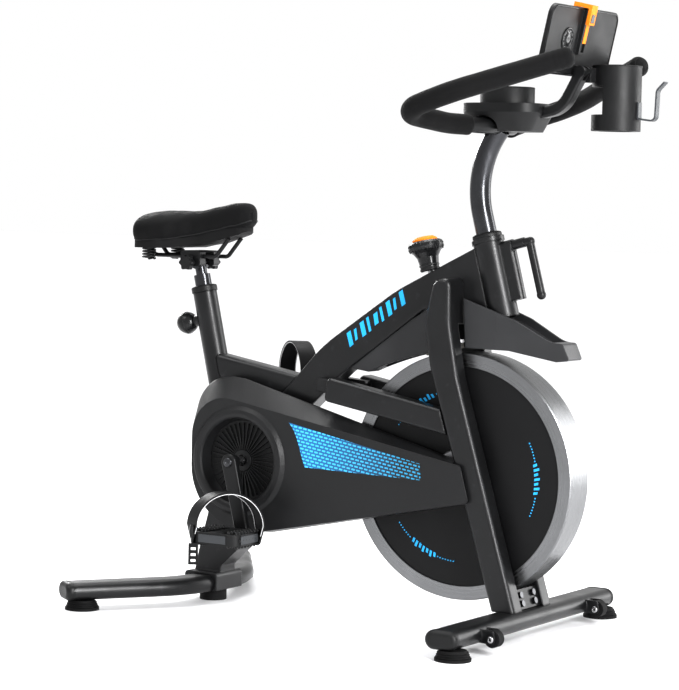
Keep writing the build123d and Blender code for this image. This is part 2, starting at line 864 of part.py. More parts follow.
def brake_axis():
    angle = math.radians(brake_lean)
    return Vector(-math.sin(angle), 0, math.cos(angle))


def make_knob_cap():
    start = Plane(origin=brake_point(knob_bottom + 56), z_dir=brake_axis())
    profile = make_face(Polyline((0, 0), (24, 0), (23, 4), (17, 8), (0, 10), close=True))
    return start * revolve(Rot(90, 0, 0) * profile, Axis.Z)


# ---- Saddle and its post ----------------------------------------------------
def make_bushes():
    """Plastic liners of the seat tube and the head tube, each with a lip."""
    seat = rod(seat_point(455), seat_point(seat_tube_top), seat_tube_bore)
    seat += rod(seat_point(seat_tube_top), seat_point(seat_tube_top + 9), seat_tube_radius + 2)
    seat -= rod(seat_point(440), seat_point(seat_tube_top + 20), post_radius + slide_gap)
    seat -= rod(pin_point(0), pin_point(60), 5 + slide_gap)
    head = rod(head_point(head_length - 4), head_point(0), head_bore)
    head += rod(head_point(0), head_point(-5), head_radius - 1)
    head -= rod(head_point(head_length + 5), head_point(-10), bar_post_radius + slide_gap)
    head -= rod(lever_point(0), lever_point(60), 5 + running_gap)
    return Compound(children=[seat, head])


def make_seat_post():
    """Tube with a grooved back, a neck and a cross-bored head."""
    bottom = seat_point(seat_tube_top - post_below)
    neck = seat_point(clamp_height - 24)
    post = rod(bottom, neck, post_radius)
    post -= rod(bottom, seat_point(clamp_height - 44), post_radius - post_wall - groove_depth)
    middle = seat_point(seat_tube_top - post_below / 2 - 10)
    heading = Vector(*seat_point(seat_tube_top)) - Vector(*bottom)
    groove = Box(2 * groove_depth, groove_width, post_below - 20)
    post -= Plane(origin=middle, x_dir=(math.cos(math.radians(seat_lean)), 0,
                                        math.sin(math.radians(seat_lean))),
                  z_dir=heading) * Pos(-post_radius, 0, 0) * groove
    post += rod(neck, seat_point(clamp_height), 11)
    post += across(13, -14, 14, seat_point(clamp_height)[0], clamp_height)
    return post - across(5 + running_gap, -20, 20, seat_point(clamp_height)[0], clamp_height)


def make_pull_knob():
    """Ball knob moulded over its steel pin."""
    knob = rod(pin_point(post_radius - 2), pin_point(40), 5)
    ball_x, _, ball_z = pin_point(52)
    knob += Pos(ball_x, 0, ball_z) * Sphere(21)
    return knob + rod(pin_point(31.5), pin_point(40), 9)


def clamp_x():
    return seat_point(clamp_height)[0]


def make_saddle_clamp():
    """Clamp block with the cross bolt and a star nut at each end."""
    block = Pos(clamp_x(), 0, 660) * Box(46, 66, 30)
    block = fillet(block.edges().filter_by(Axis.Y), 5)
    block -= Pos(clamp_x(), 0, 655) * Box(60, 28 + 2 * body_gap, 34)
    for side in (-1, 1):
        block -= along_x(rail_radius + running_gap, -720, -480, side * rail_spread, rail_height)
    block += across(5, -50, 50, clamp_x(), clamp_height)
    for side in (-1, 1):
        low, high = sorted((side * 36, side * 50))
        block += across(11, low, high, clamp_x(), clamp_height)
    return block


def along_x(radius, x_low, x_high, y, z):
    """A cylinder along X."""
    return Pos((x_low + x_high) / 2, y, z) * Rot(0, 90, 0) * Cylinder(radius, x_high - x_low)


def make_rails():
    """Two bent wires under the saddle."""
    route = FilletPolyline(
        (-712, rail_spread, 686), (-694, rail_spread, rail_height),
        (-552, rail_spread, rail_height), (-522, rail_spread, 700), radius=14,
    )
    wire = sweep(Plane(origin=route @ 0, z_dir=route % 0) * Circle(rail_radius), path=route)
    return pair(wire)


def saddle_plan(inset):
    """Top view: broad behind, with a narrow nose."""
    wide = saddle_half_width - inset
    return make_face(FilletPolyline(
        (-726 + inset, -52, 0), (-716 + inset, -wide, 0), (-655, -wide, 0), (-590, -44 + inset / 2, 0),
        (-478 - inset, -26 + inset / 2, 0), (-478 - inset, 26 - inset / 2, 0),
        (-590, 44 - inset / 2, 0), (-655, wide, 0), (-716 + inset, wide, 0), (-726 + inset, 52, 0),
        radius=[20, 34, 40, 90, 22, 22, 90, 40, 34, 20], close=True,
    ))


def make_saddle():
    """Soft cushion, higher at the nose and hollow under its middle."""
    body = plan(saddle_plan(0), 690, 780)
    side = outline([
        (-740, 712, 8), (-722, 746, 20), (-640, 750, 150), (-560, 760, 120), (-490, 770, 20),
        (-470, 740, 8), (-478, 724, 6), (-560, 716, 60), (-640, 702, 60), (-728, 700, 6),
    ])
    return body & slab(side, -150, 150)


def make_saddle_base():
    """Moulded shell that carries the cushion and grips the rails."""
    body = plan(saddle_plan(9), 660, 760)
    side = outline([
        (-740, 699.8, 0), (-728, 700, 6), (-640, 702, 60), (-560, 716, 60), (-478, 724, 6),
        (-470, 724, 0), (-500, 708, 20), (-560, 690, 60), (-640, 679, 60), (-740, 678, 0),
    ])
    base = body & slab(side, -150, 150)
    base -= slab(outline([(-740, 699, 0), (-640, 702, 60), (-560, 716, 60), (-470, 724, 0),
                          (-470, 760, 0), (-740, 760, 0)]), -150, 150)
    return base - make_rails()


# ---- Handlebar --------------------------------------------------------------
def handle_corners(side):
    """Corners of one half of the handlebar, from its tip to the middle."""
    x, y, z = horn_tip
    corners = [(x, y, z), (74, 252, 966), (-24, 236, 934), (6, 118, 919), (handle_x, 46, handle_z)]
    return [(x, side * y, z) for x, y, z in corners]


handle_radii = [130, 42, 120, 60]


def make_handlebar():
    right = handle_corners(-1)
    left = handle_corners(1)
    path = FilletPolyline(*right, *reversed(left), radius=handle_radii + handle_radii[::-1])
    ring = Circle(handle_radius) - Circle(handle_radius - handle_wall)
    return sweep(Plane(origin=path @ 0, z_dir=path % 0) * ring, path=path)


def make_grips():
    """Foam sleeves from the tips round to the tray."""
    corners = handle_corners(-1)
    tray_end = Vector(*corners[3]) * 0.45 + Vector(*corners[4]) * 0.55
    path = FilletPolyline(*corners[:4], tray_end, radius=handle_radii[:3])
    ring = Circle(grip_radius) - Circle(handle_radius + 0.02)
    grip = sweep(Plane(origin=path @ 0, z_dir=path % 0) * ring, path=path)
    cap_start = path @ 0
    cap_end = cap_start - (path % 0) * 4
    grip += rod(tuple(cap_end), tuple(cap_start), grip_radius)
    return pair(grip)


def make_bar_post():
    """Straight inside the head tube, then bent forward under the tray."""
    low = head_point(bar_post_below)
    path = FilletPolyline(low, (-5.8, 0, 838.4), (handle_x + 1.5, 0, handle_z - 3), radius=175)
    post = sweep(Plane(origin=path @ 0, z_dir=path % 0) * Circle(bar_post_radius), path=path)
    bore = sweep(Plane(origin=path @ 0, z_dir=path % 0) * Circle(bar_post_radius - 2.5), path=path)
    return (post - bore) - across(handle_radius, -60, 60, handle_x, handle_z)


def make_lever():
    """Clamp lever: a screw, a hub and a cranked handle."""
    lever = rod(lever_point(20.5), lever_point(52), 5)
    lever += rod(lever_point(49.5), lever_point(72), 9)
    bend = lever_point(70)
    tip = (139, 0, 618)
    lever += rod(lever_point(64), (bend[0] + 14, 0, bend[2] + 2), 8)
    lever += rod((bend[0] + 12, 0, bend[2] + 2), tip, 7.5)
    return lever + Pos(bend[0] + 13, 0, bend[2] + 2) * Sphere(8.2) + Pos(*tip) * Sphere(8.5)


def tray_middle():
    return 63


def make_tray():
    """Console around the handlebar's middle, with a cup well on top."""
    x = tray_middle()
    low = Pos(x - 4, 0, tray_low) * RectangleRounded(tray_length - 26, tray_width - 34, 26)
    high = Pos(x, 0, tray_high - 16) * RectangleRounded(tray_length, tray_width, 40)
    tray = loft([low, high])
    tray += plan(Pos(x, 0) * RectangleRounded(tray_length, tray_width, 40), tray_high - 16, tray_high)
    tray += Pos(x - 3, 0, (tray_high + cup_top) / 2) * Cylinder(cup_outer, cup_top - tray_high)
    well = (Align.CENTER, Align.CENTER, Align.MIN)
    tray -= Pos(x - 3, 0, cup_floor) * Cylinder(cup_bore, 80, align=well)
    tray -= across(handle_radius, -46, 46, handle_x, handle_z)
    for side in (-1, 1):
        start, end = handle_corners(side)[4], handle_corners(side)[3]
        tray -= rod((start[0], side * 20, start[2]), (start[0], side * 46, start[2]), 20)
        tray -= rod(start, end, grip_radius + 0.5)
        tray -= Pos(*start) * Sphere(20)
    tray -= rod((8, 0, 850), (52, 0, 922), bar_post_radius + 1)
    return tray - make_stem()


def stem_top():
    """Pin that the tablet plate tilts on."""
    x, z = 182, 1008
    angle = math.radians(tablet_lean)
    up, out = pivot_up, pivot_out
    return (
        x + math.sin(angle) * up + math.cos(angle) * out,
        z + math.cos(angle) * up - math.sin(angle) * out,
    )


def make_stem():
    """Curved bar from the tray to a forked head."""
    x, z = stem_top()
    path = FilletPolyline((96, 0, 934), (172, 0, 950), (x, 0, z), radius=46)
    section = Plane(origin=path @ 0, x_dir=(0, 1, 0), z_dir=path % 0)
    stem = sweep(section * RectangleRounded(stem_width, stem_depth, 5), path=path)
    stem += across(stem_depth / 2, -stem_width / 2, stem_width / 2, x, z)
    stem -= Pos(x, 0, z + 2) * Box(40, 13, 34)
    return stem + across(stem_pin_radius, -stem_width / 2, stem_width / 2, x, z)


def tablet_plane():
    """Frame of the tablet plate: X forward through it, Z up along it."""
    angle = math.radians(tablet_lean)
    return Plane(
        origin=(182, 0, 1008),
        x_dir=(math.cos(angle), 0, -math.sin(angle)),
        z_dir=(math.sin(angle), 0, math.cos(angle)),
    )


def make_tablet():
    """Plate with a ledge for the tablet, a back rail and the hinge tongue."""
    face = Pos(0, tablet_height / 2) * RectangleRounded(tablet_width, tablet_height, 20)
    plate = extrude(Plane.YZ * face, tablet_thickness)
    plate += Pos(-12, 0, 3) * Box(26, tablet_width - 60, 6)
    plate += Pos(-24, 0, 8) * Box(4, tablet_width - 60, 16)
    rail_foot = (Align.MIN, Align.CENTER, Align.MIN)
    plate += Pos(tablet_thickness, 0, 40) * Box(7, 24, tablet_height - 44, align=rail_foot)
    plate -= Pos(tablet_thickness + 2, 0, 44) * Box(9, 12, tablet_height, align=rail_foot)
    plate += Pos(pivot_out / 2 + 2, 0, pivot_up) * Box(pivot_out - 4, 12, 16)
    plate += Pos(pivot_out, 0, pivot_up) * Rot(90, 0, 0) * Cylinder(8, 12)
    plate -= Pos(pivot_out, 0, pivot_up) * Rot(90, 0, 0) * Cylinder(stem_pin_radius + running_gap, 40)
    return tablet_plane() * plate


def make_tablet_clip():
    """Sliding hook over the plate's top edge."""
    foot = (Align.MIN, Align.CENTER, Align.MIN)
    top = tablet_height
    clip = Pos(tablet_thickness + 2.3, 0, 60) * Box(5.4, 11.4, top - 60, align=foot)
    clip += Pos(tablet_thickness + 7.3, 0, top - 28) * Box(6.5, 22, 35, align=foot)
    clip += Pos(-16, 0, top + body_gap) * Box(tablet_thickness + 29.8, 22, 7, align=foot)
    clip += Pos(-16, 0, top - 8) * Box(4, 22, 12, align=foot)
    return tablet_plane() * clip


def make_bottle_ring():
    """Open cage for a bottle, with an arm to the stem."""
    ring = Pos(ring_x, ring_y) * (Circle(ring_radius) - Circle(ring_radius - ring_wall))
    ring = plan(ring, ring_low, ring_high)
    floor = Pos(ring_x, ring_y) * (Circle(ring_radius) - Circle(ring_radius - 12))
    ring += plan(floor, ring_low, ring_low + 3)
    window = Pos(ring_x - 30, ring_y + 6, (ring_low + ring_high) / 2 - 4)
    ring -= window * Rot(0, 0, -8) * Box(60, 120, 50)
    x, z = stem_top()
    arm = make_face(Polyline(
        (x - 9, stem_width / 2 - 2), (x + 9, stem_width / 2 - 2), (ring_x - 22, ring_y - 30),
        (ring_x - 38, ring_y - 16), close=True,
    ))
    arm = plan(arm, z - 18, z + 8) - across(60, -60, stem_width / 2, x, z)
    hollow = Pos(ring_x, ring_y, 970) * Cylinder(ring_radius - ring_wall, 200)
    return ring + (arm - hollow)


def make_towel_hook():
    """Bent strip on the front of the bottle ring."""
    start = ring_x + ring_radius
    face = offset(
        FilletPolyline(
            (start + 1, 962), (start + 1, 934), (start + 34, 930), (start + 36, 984),
            (start + 50, 998), radius=[3, 9, 12],
        ), 1.5, side=Side.BOTH, closed=True,
    )
    hook = slab(make_face(face), ring_y - 7, ring_y + 7)
    return hook - Pos(ring_x, ring_y, 970) * Cylinder(ring_radius, 200)


# ---- Every piece ------------------------------------------------------------
parts = {
    "main_tube": make_main_tube(),
    "top_tube": make_top_tube(),
    "seat_tube": make_seat_tube(),
    "head_tube": make_head_tube(),
    "fork_legs": make_fork_legs(),
    "side_bars": make_side_bars(),
    "crank_shell": make_crank_shell(),
    "rear_leg": make_rear_leg(),
    "rear_stabilizer": make_rear_stabilizer(),
    "front_stabilizer": make_front_stabilizer(),
    "stabilizer_caps": make_end_caps(),
    "levelling_feet": make_feet(),
    "transport_wheel_right": make_transport_wheel(-1),
    "transport_wheel_left": make_transport_wheel(1),
    "fork_plate": make_fork_plate(),
    "plate_bolts": make_plate_bolts(),
    "dropout_plates": make_dropouts(),
    "wheel_shroud": make_shroud(),
    "front_fender": make_fender(),
    "casing_cover": make_casing_cover(),
    "casing_back": make_casing_back(),
    "finned_disc": make_finned_disc(),
    "bearings": make_bearings(),
    "crank_spindle": make_spindle(),
    "drive_pulley": make_drive_pulley(),
    "drive_belt": make_belt(),
    "crank_right": make_crank(-1),
    "crank_left": make_crank(1),
    "pedal_spindles": make_pedal_spindles(),
    "pedal_right": make_pedal(-1),
    "pedal_left": make_pedal(1),
    "toe_strap_right": make_strap(-1),
    "toe_strap_left": make_strap(1),
    "flywheel_rim": make_rim(),
    "flywheel_web": make_web(),
    "flywheel_covers": make_wheel_covers(),
    "flywheel_pulley": make_wheel_pulley(),
    "flywheel_axle": make_axle(),
    "brake_sleeve": make_brake_sleeve(),
    "brake_pad": make_brake_pad(),
    "brake_rod": make_brake_rod(),
    "resistance_knob": make_knob(),
    "resistance_cap": make_knob_cap(),
    "tube_bushes": make_bushes(),
    "seat_post": make_seat_post(),
    "pull_knob": make_pull_knob(),
    "saddle_clamp": make_saddle_clamp(),
    "saddle_rails": make_rails(),
    "saddle_base": make_saddle_base(),
    "saddle": make_saddle(),
    "handlebar": make_handlebar(),
    "handlebar_grips": make_grips(),
    "handlebar_post": make_bar_post(),
    "clamp_lever": make_lever(),
    "console_tray": make_tray(),
    "console_stem": make_stem(),
    "tablet_plate": make_tablet(),
    "tablet_clip": make_tablet_clip(),
    "bottle_ring": make_bottle_ring(),
    "towel_hook": make_towel_hook(),
}

boxes = [shape.bounding_box() for shape in parts.values()]
middle_x = (min(box.min.X for box in boxes) + max(box.max.X for box in boxes)) / 2
print("origin is", round(middle_x, 3), "mm ahead of the wheel axle")
os.makedirs("parts", exist_ok=True)
for name, shape in parts.items():
    export_step(Pos(-middle_x, 0, 0) * shape, f"parts/{name}.step")
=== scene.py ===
"""Looks of the indoor spin bike: materials, soft parts, small details, light and camera."""

import math

import bmesh
import bpy
from mathutils import Matrix, Vector


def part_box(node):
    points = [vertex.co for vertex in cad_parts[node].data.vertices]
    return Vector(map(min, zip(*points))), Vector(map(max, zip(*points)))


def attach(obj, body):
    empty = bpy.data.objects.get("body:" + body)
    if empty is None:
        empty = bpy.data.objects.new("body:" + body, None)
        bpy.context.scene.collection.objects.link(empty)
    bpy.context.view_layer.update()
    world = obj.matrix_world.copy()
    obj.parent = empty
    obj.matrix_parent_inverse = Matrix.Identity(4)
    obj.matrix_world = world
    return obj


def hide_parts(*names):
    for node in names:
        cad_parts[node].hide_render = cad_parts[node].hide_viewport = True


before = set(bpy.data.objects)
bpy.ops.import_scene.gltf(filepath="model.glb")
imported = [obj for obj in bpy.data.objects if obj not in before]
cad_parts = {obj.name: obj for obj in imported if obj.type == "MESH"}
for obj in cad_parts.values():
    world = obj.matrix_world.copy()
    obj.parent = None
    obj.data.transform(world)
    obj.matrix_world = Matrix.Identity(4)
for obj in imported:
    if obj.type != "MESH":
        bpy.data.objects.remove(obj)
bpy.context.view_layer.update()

wheel_low, wheel_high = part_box("flywheel_rim")
ORIGIN_X = (wheel_low.x + wheel_high.x) / 2
AXLE_Z = (wheel_low.z + wheel_high.z) / 2


def at(x, y, z):
    """A point given in millimetres from the floor point under the wheel axle."""
    return Vector((ORIGIN_X + x / 1000, y / 1000, z / 1000))


# ---- Materials --------------------------------------------------------------
def link(tree, source, socket_out, target, socket_in):
    tree.links.new(source.outputs[socket_out], target.inputs[socket_in])


def material(name, color, rough, metallic=0.0, grain=900.0, bump=0.05, mottle=0.12, mottle_scale=14.0,
             coat=0.0, rough_spread=0.08, sheen=0.0, edge=0.0008, worn=None, texture="NOISE", shine=0.3):
    """A procedural surface: mottled colour, uneven gloss, fine grain and softened edges."""
    made = bpy.data.materials.new(name)
    made.use_nodes = True
    tree = made.node_tree
    shader = tree.nodes["Principled BSDF"]
    shader.inputs["Metallic"].default_value = metallic
    shader.inputs["Coat Weight"].default_value = coat
    shader.inputs["Coat Roughness"].default_value = 0.22
    shader.inputs["Specular IOR Level"].default_value = shine
    shader.inputs["Sheen Weight"].default_value = sheen
    shader.inputs["Sheen Roughness"].default_value = 0.4
    place = tree.nodes.new("ShaderNodeTexCoord")

    clouds = tree.nodes.new("ShaderNodeTexNoise")
    clouds.inputs["Scale"].default_value = mottle_scale
    clouds.inputs["Detail"].default_value = 6
    link(tree, place, "Object", clouds, "Vector")
    shade = tree.nodes.new("ShaderNodeValToRGB")
    dark = [c * (1 - mottle) for c in color]
    light = [min(1.0, c * (1 + mottle)) for c in color]
    shade.color_ramp.elements[0].position = 0.3
    shade.color_ramp.elements[1].position = 0.7
    shade.color_ramp.elements[0].color = (*dark, 1)
    shade.color_ramp.elements[1].color = (*light, 1)
    link(tree, clouds, "Fac", shade, "Fac")
    color_node, color_out = shade, "Color"

    if texture == "VORONOI":
        fine = tree.nodes.new("ShaderNodeTexVoronoi")
        fine.inputs["Scale"].default_value = grain
        fine_out = "Distance"
    else:
        fine = tree.nodes.new("ShaderNodeTexNoise")
        fine.inputs["Scale"].default_value = grain
        fine.inputs["Detail"].default_value = 3
        fine_out = "Fac"
    link(tree, place, "Object", fine, "Vector")

    if worn:
        bare = tree.nodes.new("ShaderNodeMix")
        bare.data_type = "RGBA"
        bare.inputs[7].default_value = (*worn, 1)
        wear = tree.nodes.new("ShaderNodeMapRange")
        wear.inputs["From Min"].default_value = 0.62
        wear.inputs["From Max"].default_value = 0.74
        wear.inputs["To Max"].default_value = 0.35
        scuff = tree.nodes.new("ShaderNodeTexNoise")
        scuff.inputs["Scale"].default_value = 55
        scuff.inputs["Detail"].default_value = 8
        link(tree, place, "Object", scuff, "Vector")
        link(tree, scuff, "Fac", wear, "Value")
        link(tree, wear, "Result", bare, "Factor")
        tree.links.new(color_node.outputs[color_out], bare.inputs[6])
        tree.links.new(bare.outputs[2], shader.inputs["Base Color"])
    else:
        link(tree, color_node, color_out, shader, "Base Color")

    gloss = tree.nodes.new("ShaderNodeMapRange")
    gloss.inputs["From Min"].default_value = 0.3
    gloss.inputs["From Max"].default_value = 0.7
    gloss.inputs["To Min"].default_value = max(0.04, rough - rough_spread)
    gloss.inputs["To Max"].default_value = min(1.0, rough + rough_spread)
    link(tree, clouds, "Fac", gloss, "Value")
    link(tree, gloss, "Result", shader, "Roughness")

    relief = tree.nodes.new("ShaderNodeBump")
    relief.inputs["Strength"].default_value = bump
    relief.inputs["Distance"].default_value = 0.0006
    link(tree, fine, fine_out, relief, "Height")
    if edge:
        soften = tree.nodes.new("ShaderNodeBevel")
        soften.samples = 4
        soften.inputs["Radius"].default_value = edge
        link(tree, soften, "Normal", relief, "Normal")
    link(tree, relief, "Normal", shader, "Normal")
    return made


def turned_steel(name, color, rough):
    """Steel with fine lathe lines around the wheel axle."""
    made = material(name, color, rough, metallic=1.0, grain=700, bump=0.02, mottle=0.1, mottle_scale=9)
    tree = made.node_tree
    shader = tree.nodes["Principled BSDF"]
    place = tree.nodes.new("ShaderNodeTexCoord")
    shift = tree.nodes.new("ShaderNodeVectorMath")
    shift.operation = "SUBTRACT"
    shift.inputs[1].default_value = (ORIGIN_X, 0, AXLE_Z)
    link(tree, place, "Object", shift, "Vector")
    parts = tree.nodes.new("ShaderNodeSeparateXYZ")
    link(tree, shift, "Vector", parts, "Vector")
    flat = tree.nodes.new("ShaderNodeCombineXYZ")
    link(tree, parts, "X", flat, "X")
    link(tree, parts, "Z", flat, "Z")
    reach = tree.nodes.new("ShaderNodeVectorMath")
    reach.operation = "LENGTH"
    link(tree, flat, "Vector", reach, 0)
    lines_at = tree.nodes.new("ShaderNodeCombineXYZ")
    tree.links.new(reach.outputs["Value"], lines_at.inputs["X"])
    link(tree, parts, "Y", lines_at, "Y")
    lines = tree.nodes.new("ShaderNodeTexNoise")
    lines.inputs["Scale"].default_value = 1500
    lines.inputs["Detail"].default_value = 4
    link(tree, lines_at, "Vector", lines, "Vector")
    spread = tree.nodes.new("ShaderNodeMapRange")
    spread.inputs["From Min"].default_value = 0.3
    spread.inputs["From Max"].default_value = 0.7
    spread.inputs["To Min"].default_value = rough - 0.08
    spread.inputs["To Max"].default_value = rough + 0.12
    link(tree, lines, "Fac", spread, "Value")
    link(tree, spread, "Result", shader, "Roughness")
    relief = tree.nodes.new("ShaderNodeBump")
    relief.inputs["Strength"].default_value = 0.12
    relief.inputs["Distance"].default_value = 0.0003
    link(tree, lines, "Fac", relief, "Height")
    soften = tree.nodes.new("ShaderNodeBevel")
    soften.samples = 4
    soften.inputs["Radius"].default_value = 0.0012
    link(tree, soften, "Normal", relief, "Normal")
    link(tree, relief, "Normal", shader, "Normal")
    return made


def mesh_graphic():
    """Staggered light dashes on blue that fades out towards the front."""
    made = bpy.data.materials.new("casing_graphic")
    made.use_nodes = True
    tree = made.node_tree
    shader = tree.nodes["Principled BSDF"]
    shader.inputs["Coat Weight"].default_value = 0.1
    place = tree.nodes.new("ShaderNodeTexCoord")
    parts = tree.nodes.new("ShaderNodeSeparateXYZ")
    link(tree, place, "Object", parts, "Vector")
    flat = tree.nodes.new("ShaderNodeCombineXYZ")
    link(tree, parts, "X", flat, "X")
    link(tree, parts, "Z", flat, "Y")
    turn = tree.nodes.new("ShaderNodeMapping")
    turn.inputs["Rotation"].default_value = (0, 0, math.radians(9))
    link(tree, flat, "Vector", turn, "Vector")
    fade = tree.nodes.new("ShaderNodeMapRange")
    fade.inputs["From Min"].default_value = ORIGIN_X - 0.290
    fade.inputs["From Max"].default_value = ORIGIN_X - 0.090
    link(tree, parts, "X", fade, "Value")
    back = tree.nodes.new("ShaderNodeValToRGB")
    back.color_ramp.elements[0].color = (0.004, 0.13, 0.32, 1)
    back.color_ramp.elements[1].color = (0.004, 0.007, 0.010, 1)
    link(tree, fade, "Result", back, "Fac")
    dash = tree.nodes.new("ShaderNodeValToRGB")
    dash.color_ramp.elements[0].color = (0.06, 0.50, 0.86, 1)
    dash.color_ramp.elements[1].color = (0.015, 0.24, 0.42, 1)
    link(tree, fade, "Result", dash, "Fac")
    bricks = tree.nodes.new("ShaderNodeTexBrick")
    bricks.inputs["Scale"].default_value = 1
    bricks.inputs["Brick Width"].default_value = 0.0105
    bricks.inputs["Row Height"].default_value = 0.0062
    bricks.inputs["Mortar Size"].default_value = 0.0018
    bricks.inputs["Mortar Smooth"].default_value = 0.25
    link(tree, turn, "Vector", bricks, "Vector")
    link(tree, dash, "Color", bricks, "Color1")
    link(tree, dash, "Color", bricks, "Color2")
    link(tree, back, "Color", bricks, "Mortar")
    link(tree, bricks, "Color", shader, "Base Color")
    uneven = tree.nodes.new("ShaderNodeTexNoise")
    uneven.inputs["Scale"].default_value = 400
    link(tree, place, "Object", uneven, "Vector")
    gloss = tree.nodes.new("ShaderNodeMapRange")
    gloss.inputs["To Min"].default_value = 0.38
    gloss.inputs["To Max"].default_value = 0.52
    link(tree, uneven, "Fac", gloss, "Value")
    link(tree, gloss, "Result", shader, "Roughness")
    relief = tree.nodes.new("ShaderNodeBump")
    relief.inputs["Strength"].default_value = 0.05
    relief.inputs["Distance"].default_value = 0.0004
    link(tree, bricks, "Fac", relief, "Height")
    link(tree, relief, "Normal", shader, "Normal")
    return made


def weave(name, color, rough, scale, bump):
    """Fine pebbled cover with almost no gloss."""
    made = material(name, color, rough, grain=scale, bump=bump, mottle=0.18, sheen=0.02, edge=0,
                    texture="VORONOI", shine=0.14)
    return made


CHARCOAL = (0.0085, 0.0087, 0.0094)
paint = material("charcoal_paint", CHARCOAL, 0.36, metallic=0.3, grain=1600, bump=0.06, coat=0.12,
                 mottle=0.14, edge=0.0055, worn=(0.03, 0.031, 0.034), shine=0.4)
paint_dark = material("black_paint", (0.0075, 0.0077, 0.0082), 0.38, metallic=0.2, grain=1500, bump=0.05,
                      coat=0.08, edge=0.0012)
shell = material("casing_plastic", (0.0105, 0.0107, 0.0114), 0.42, grain=1900, bump=0.16, mottle=0.1,
                 edge=0.0025, texture="VORONOI")
# Lighter grey than the casing plastic, used for the fender and wheel shroud: partly their own grey and
# partly painted reflection of the light on their curved faces.
grey_shell_and_reflection = material("guard_grey_and_painted_reflection", (0.028, 0.0285, 0.030), 0.36, grain=1900, bump=0.12, mottle=0.1,
                      edge=0.003, texture="VORONOI")
shell_dark = material("panel_plastic", (0.010, 0.0102, 0.0108), 0.4, grain=1900, bump=0.12, mottle=0.12,
                      edge=0.0014, texture="VORONOI")
plastic = material("moulded_plastic", (0.0062, 0.0064, 0.0068), 0.46, grain=1700, bump=0.14, mottle=0.15,
                   edge=0.0012, texture="VORONOI")
plastic_gloss = material("smooth_black_plastic", (0.009, 0.0092, 0.0098), 0.24, grain=500, bump=0.02,
                         mottle=0.15, edge=0.0012)
wheel_face = material("wheel_panel", (0.0050, 0.0051, 0.0056), 0.42, grain=1500, bump=0.05, mottle=0.12,
                      edge=0.0008, shine=0.22)
rubber = material("ribbed_rubber", (0.0052, 0.0052, 0.0055), 0.7, grain=1200, bump=0.22, mottle=0.2,
                  edge=0.0008, shine=0.2)
foam = material("grip_foam", (0.0048, 0.0048, 0.0051), 0.8, grain=2600, bump=0.5, mottle=0.22,
                sheen=0.03, edge=0, texture="VORONOI", shine=0.16)
cover = weave("saddle_cover", (0.0042, 0.0042, 0.0045), 0.7, 1500, 0.32)
strap_rubber = material("strap_band", (0.0055, 0.0055, 0.006), 0.5, grain=1300, bump=0.2, mottle=0.2,
                        edge=0.0004, shine=0.2)
# Light grey for the thin lines along the strap edges: a painted highlight, not the strap's own colour.
painted_strap_highlight = material("painted_strap_highlight", (0.62, 0.62, 0.63), 0.4, grain=900, bump=0.1, mottle=0.15, edge=0)
steel = turned_steel("turned_rim", (0.20, 0.203, 0.208), 0.3)
machined = material("machined_steel", (0.42, 0.42, 0.43), 0.28, metallic=1.0, grain=420, bump=0.05,
                    mottle=0.1, edge=0.0006)
post_steel = material("post_steel", (0.060, 0.061, 0.065), 0.24, metallic=1.0, grain=700, bump=0.04,
                      mottle=0.15, edge=0.0008, worn=(0.12, 0.12, 0.13))
aluminium = material("cast_aluminium", (0.25, 0.252, 0.26), 0.38, metallic=1.0, grain=900, bump=0.1,
                     mottle=0.12, edge=0.001)
orange = material("orange_plastic", (0.72, 0.20, 0.014), 0.5, grain=900, bump=0.05, mottle=0.08,
                  edge=0.0008, shine=0.15)
hook_grey = material("hook_plastic", (0.045, 0.048, 0.052), 0.4, grain=900, bump=0.06, mottle=0.1,
                     edge=0.0008)
felt = material("pressed_felt", (0.22, 0.21, 0.19), 0.95, grain=2400, bump=0.6, mottle=0.25, sheen=0.2,
                edge=0)
sky_blue = material("sky_blue_print", (0.02, 0.36, 0.72), 0.42, grain=900, bump=0.04, mottle=0.06, edge=0)
graphic = mesh_graphic()

NODE_MATERIALS = {
    paint: "main_tube top_tube seat_tube head_tube side_bars fork_legs rear_leg crank_shell "
           "dropout_plates front_stabilizer rear_stabilizer",
    paint_dark: "fork_plate saddle_rails saddle_clamp clamp_lever console_stem handlebar crank_right "
                "crank_left flywheel_web",
    shell: "casing_cover",
    grey_shell_and_reflection: "front_fender wheel_shroud",
    shell_dark: "casing_back",
    wheel_face: "flywheel_covers",
    plastic: "finned_disc console_tray tablet_plate bottle_ring pedal_right pedal_left "
             "stabilizer_caps tube_bushes",
    plastic_gloss: "pull_knob resistance_knob",
    rubber: "saddle_base levelling_feet transport_wheel_right transport_wheel_left drive_belt",
    foam: "handlebar_grips",
    cover: "saddle",
    strap_rubber: "toe_strap_right toe_strap_left",
    steel: "flywheel_rim",
    machined: "flywheel_axle bearings crank_spindle pedal_spindles brake_rod brake_sleeve",
    post_steel: "seat_post handlebar_post plate_bolts",
    aluminium: "drive_pulley flywheel_pulley",
    orange: "resistance_cap tablet_clip",
    hook_grey: "towel_hook",
    felt: "brake_pad",
}
for finish, names in NODE_MATERIALS.items():
    for node in names.split():
        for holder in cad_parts[node].material_slots:
            holder.material = finish


# ---- Shape helpers ----------------------------------------------------------
def piece(name, verts, faces, finish, body, slot, smooth=True, closed=True):
    """A mesh object that rides on a body. The slot argument is not used."""
    data = bpy.data.meshes.new(name)
    data.from_pydata([tuple(v) for v in verts], [], faces)
    shaper = bmesh.new()
    shaper.from_mesh(data)
    if closed:
        bmesh.ops.recalc_face_normals(shaper, faces=shaper.faces)
    shaper.to_mesh(data)
    shaper.free()
    made = bpy.data.objects.new(name, data)
    bpy.context.scene.collection.objects.link(made)
    data.materials.append(finish)
    for polygon in data.polygons:
        polygon.use_smooth = smooth
    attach(made, body)
    return made


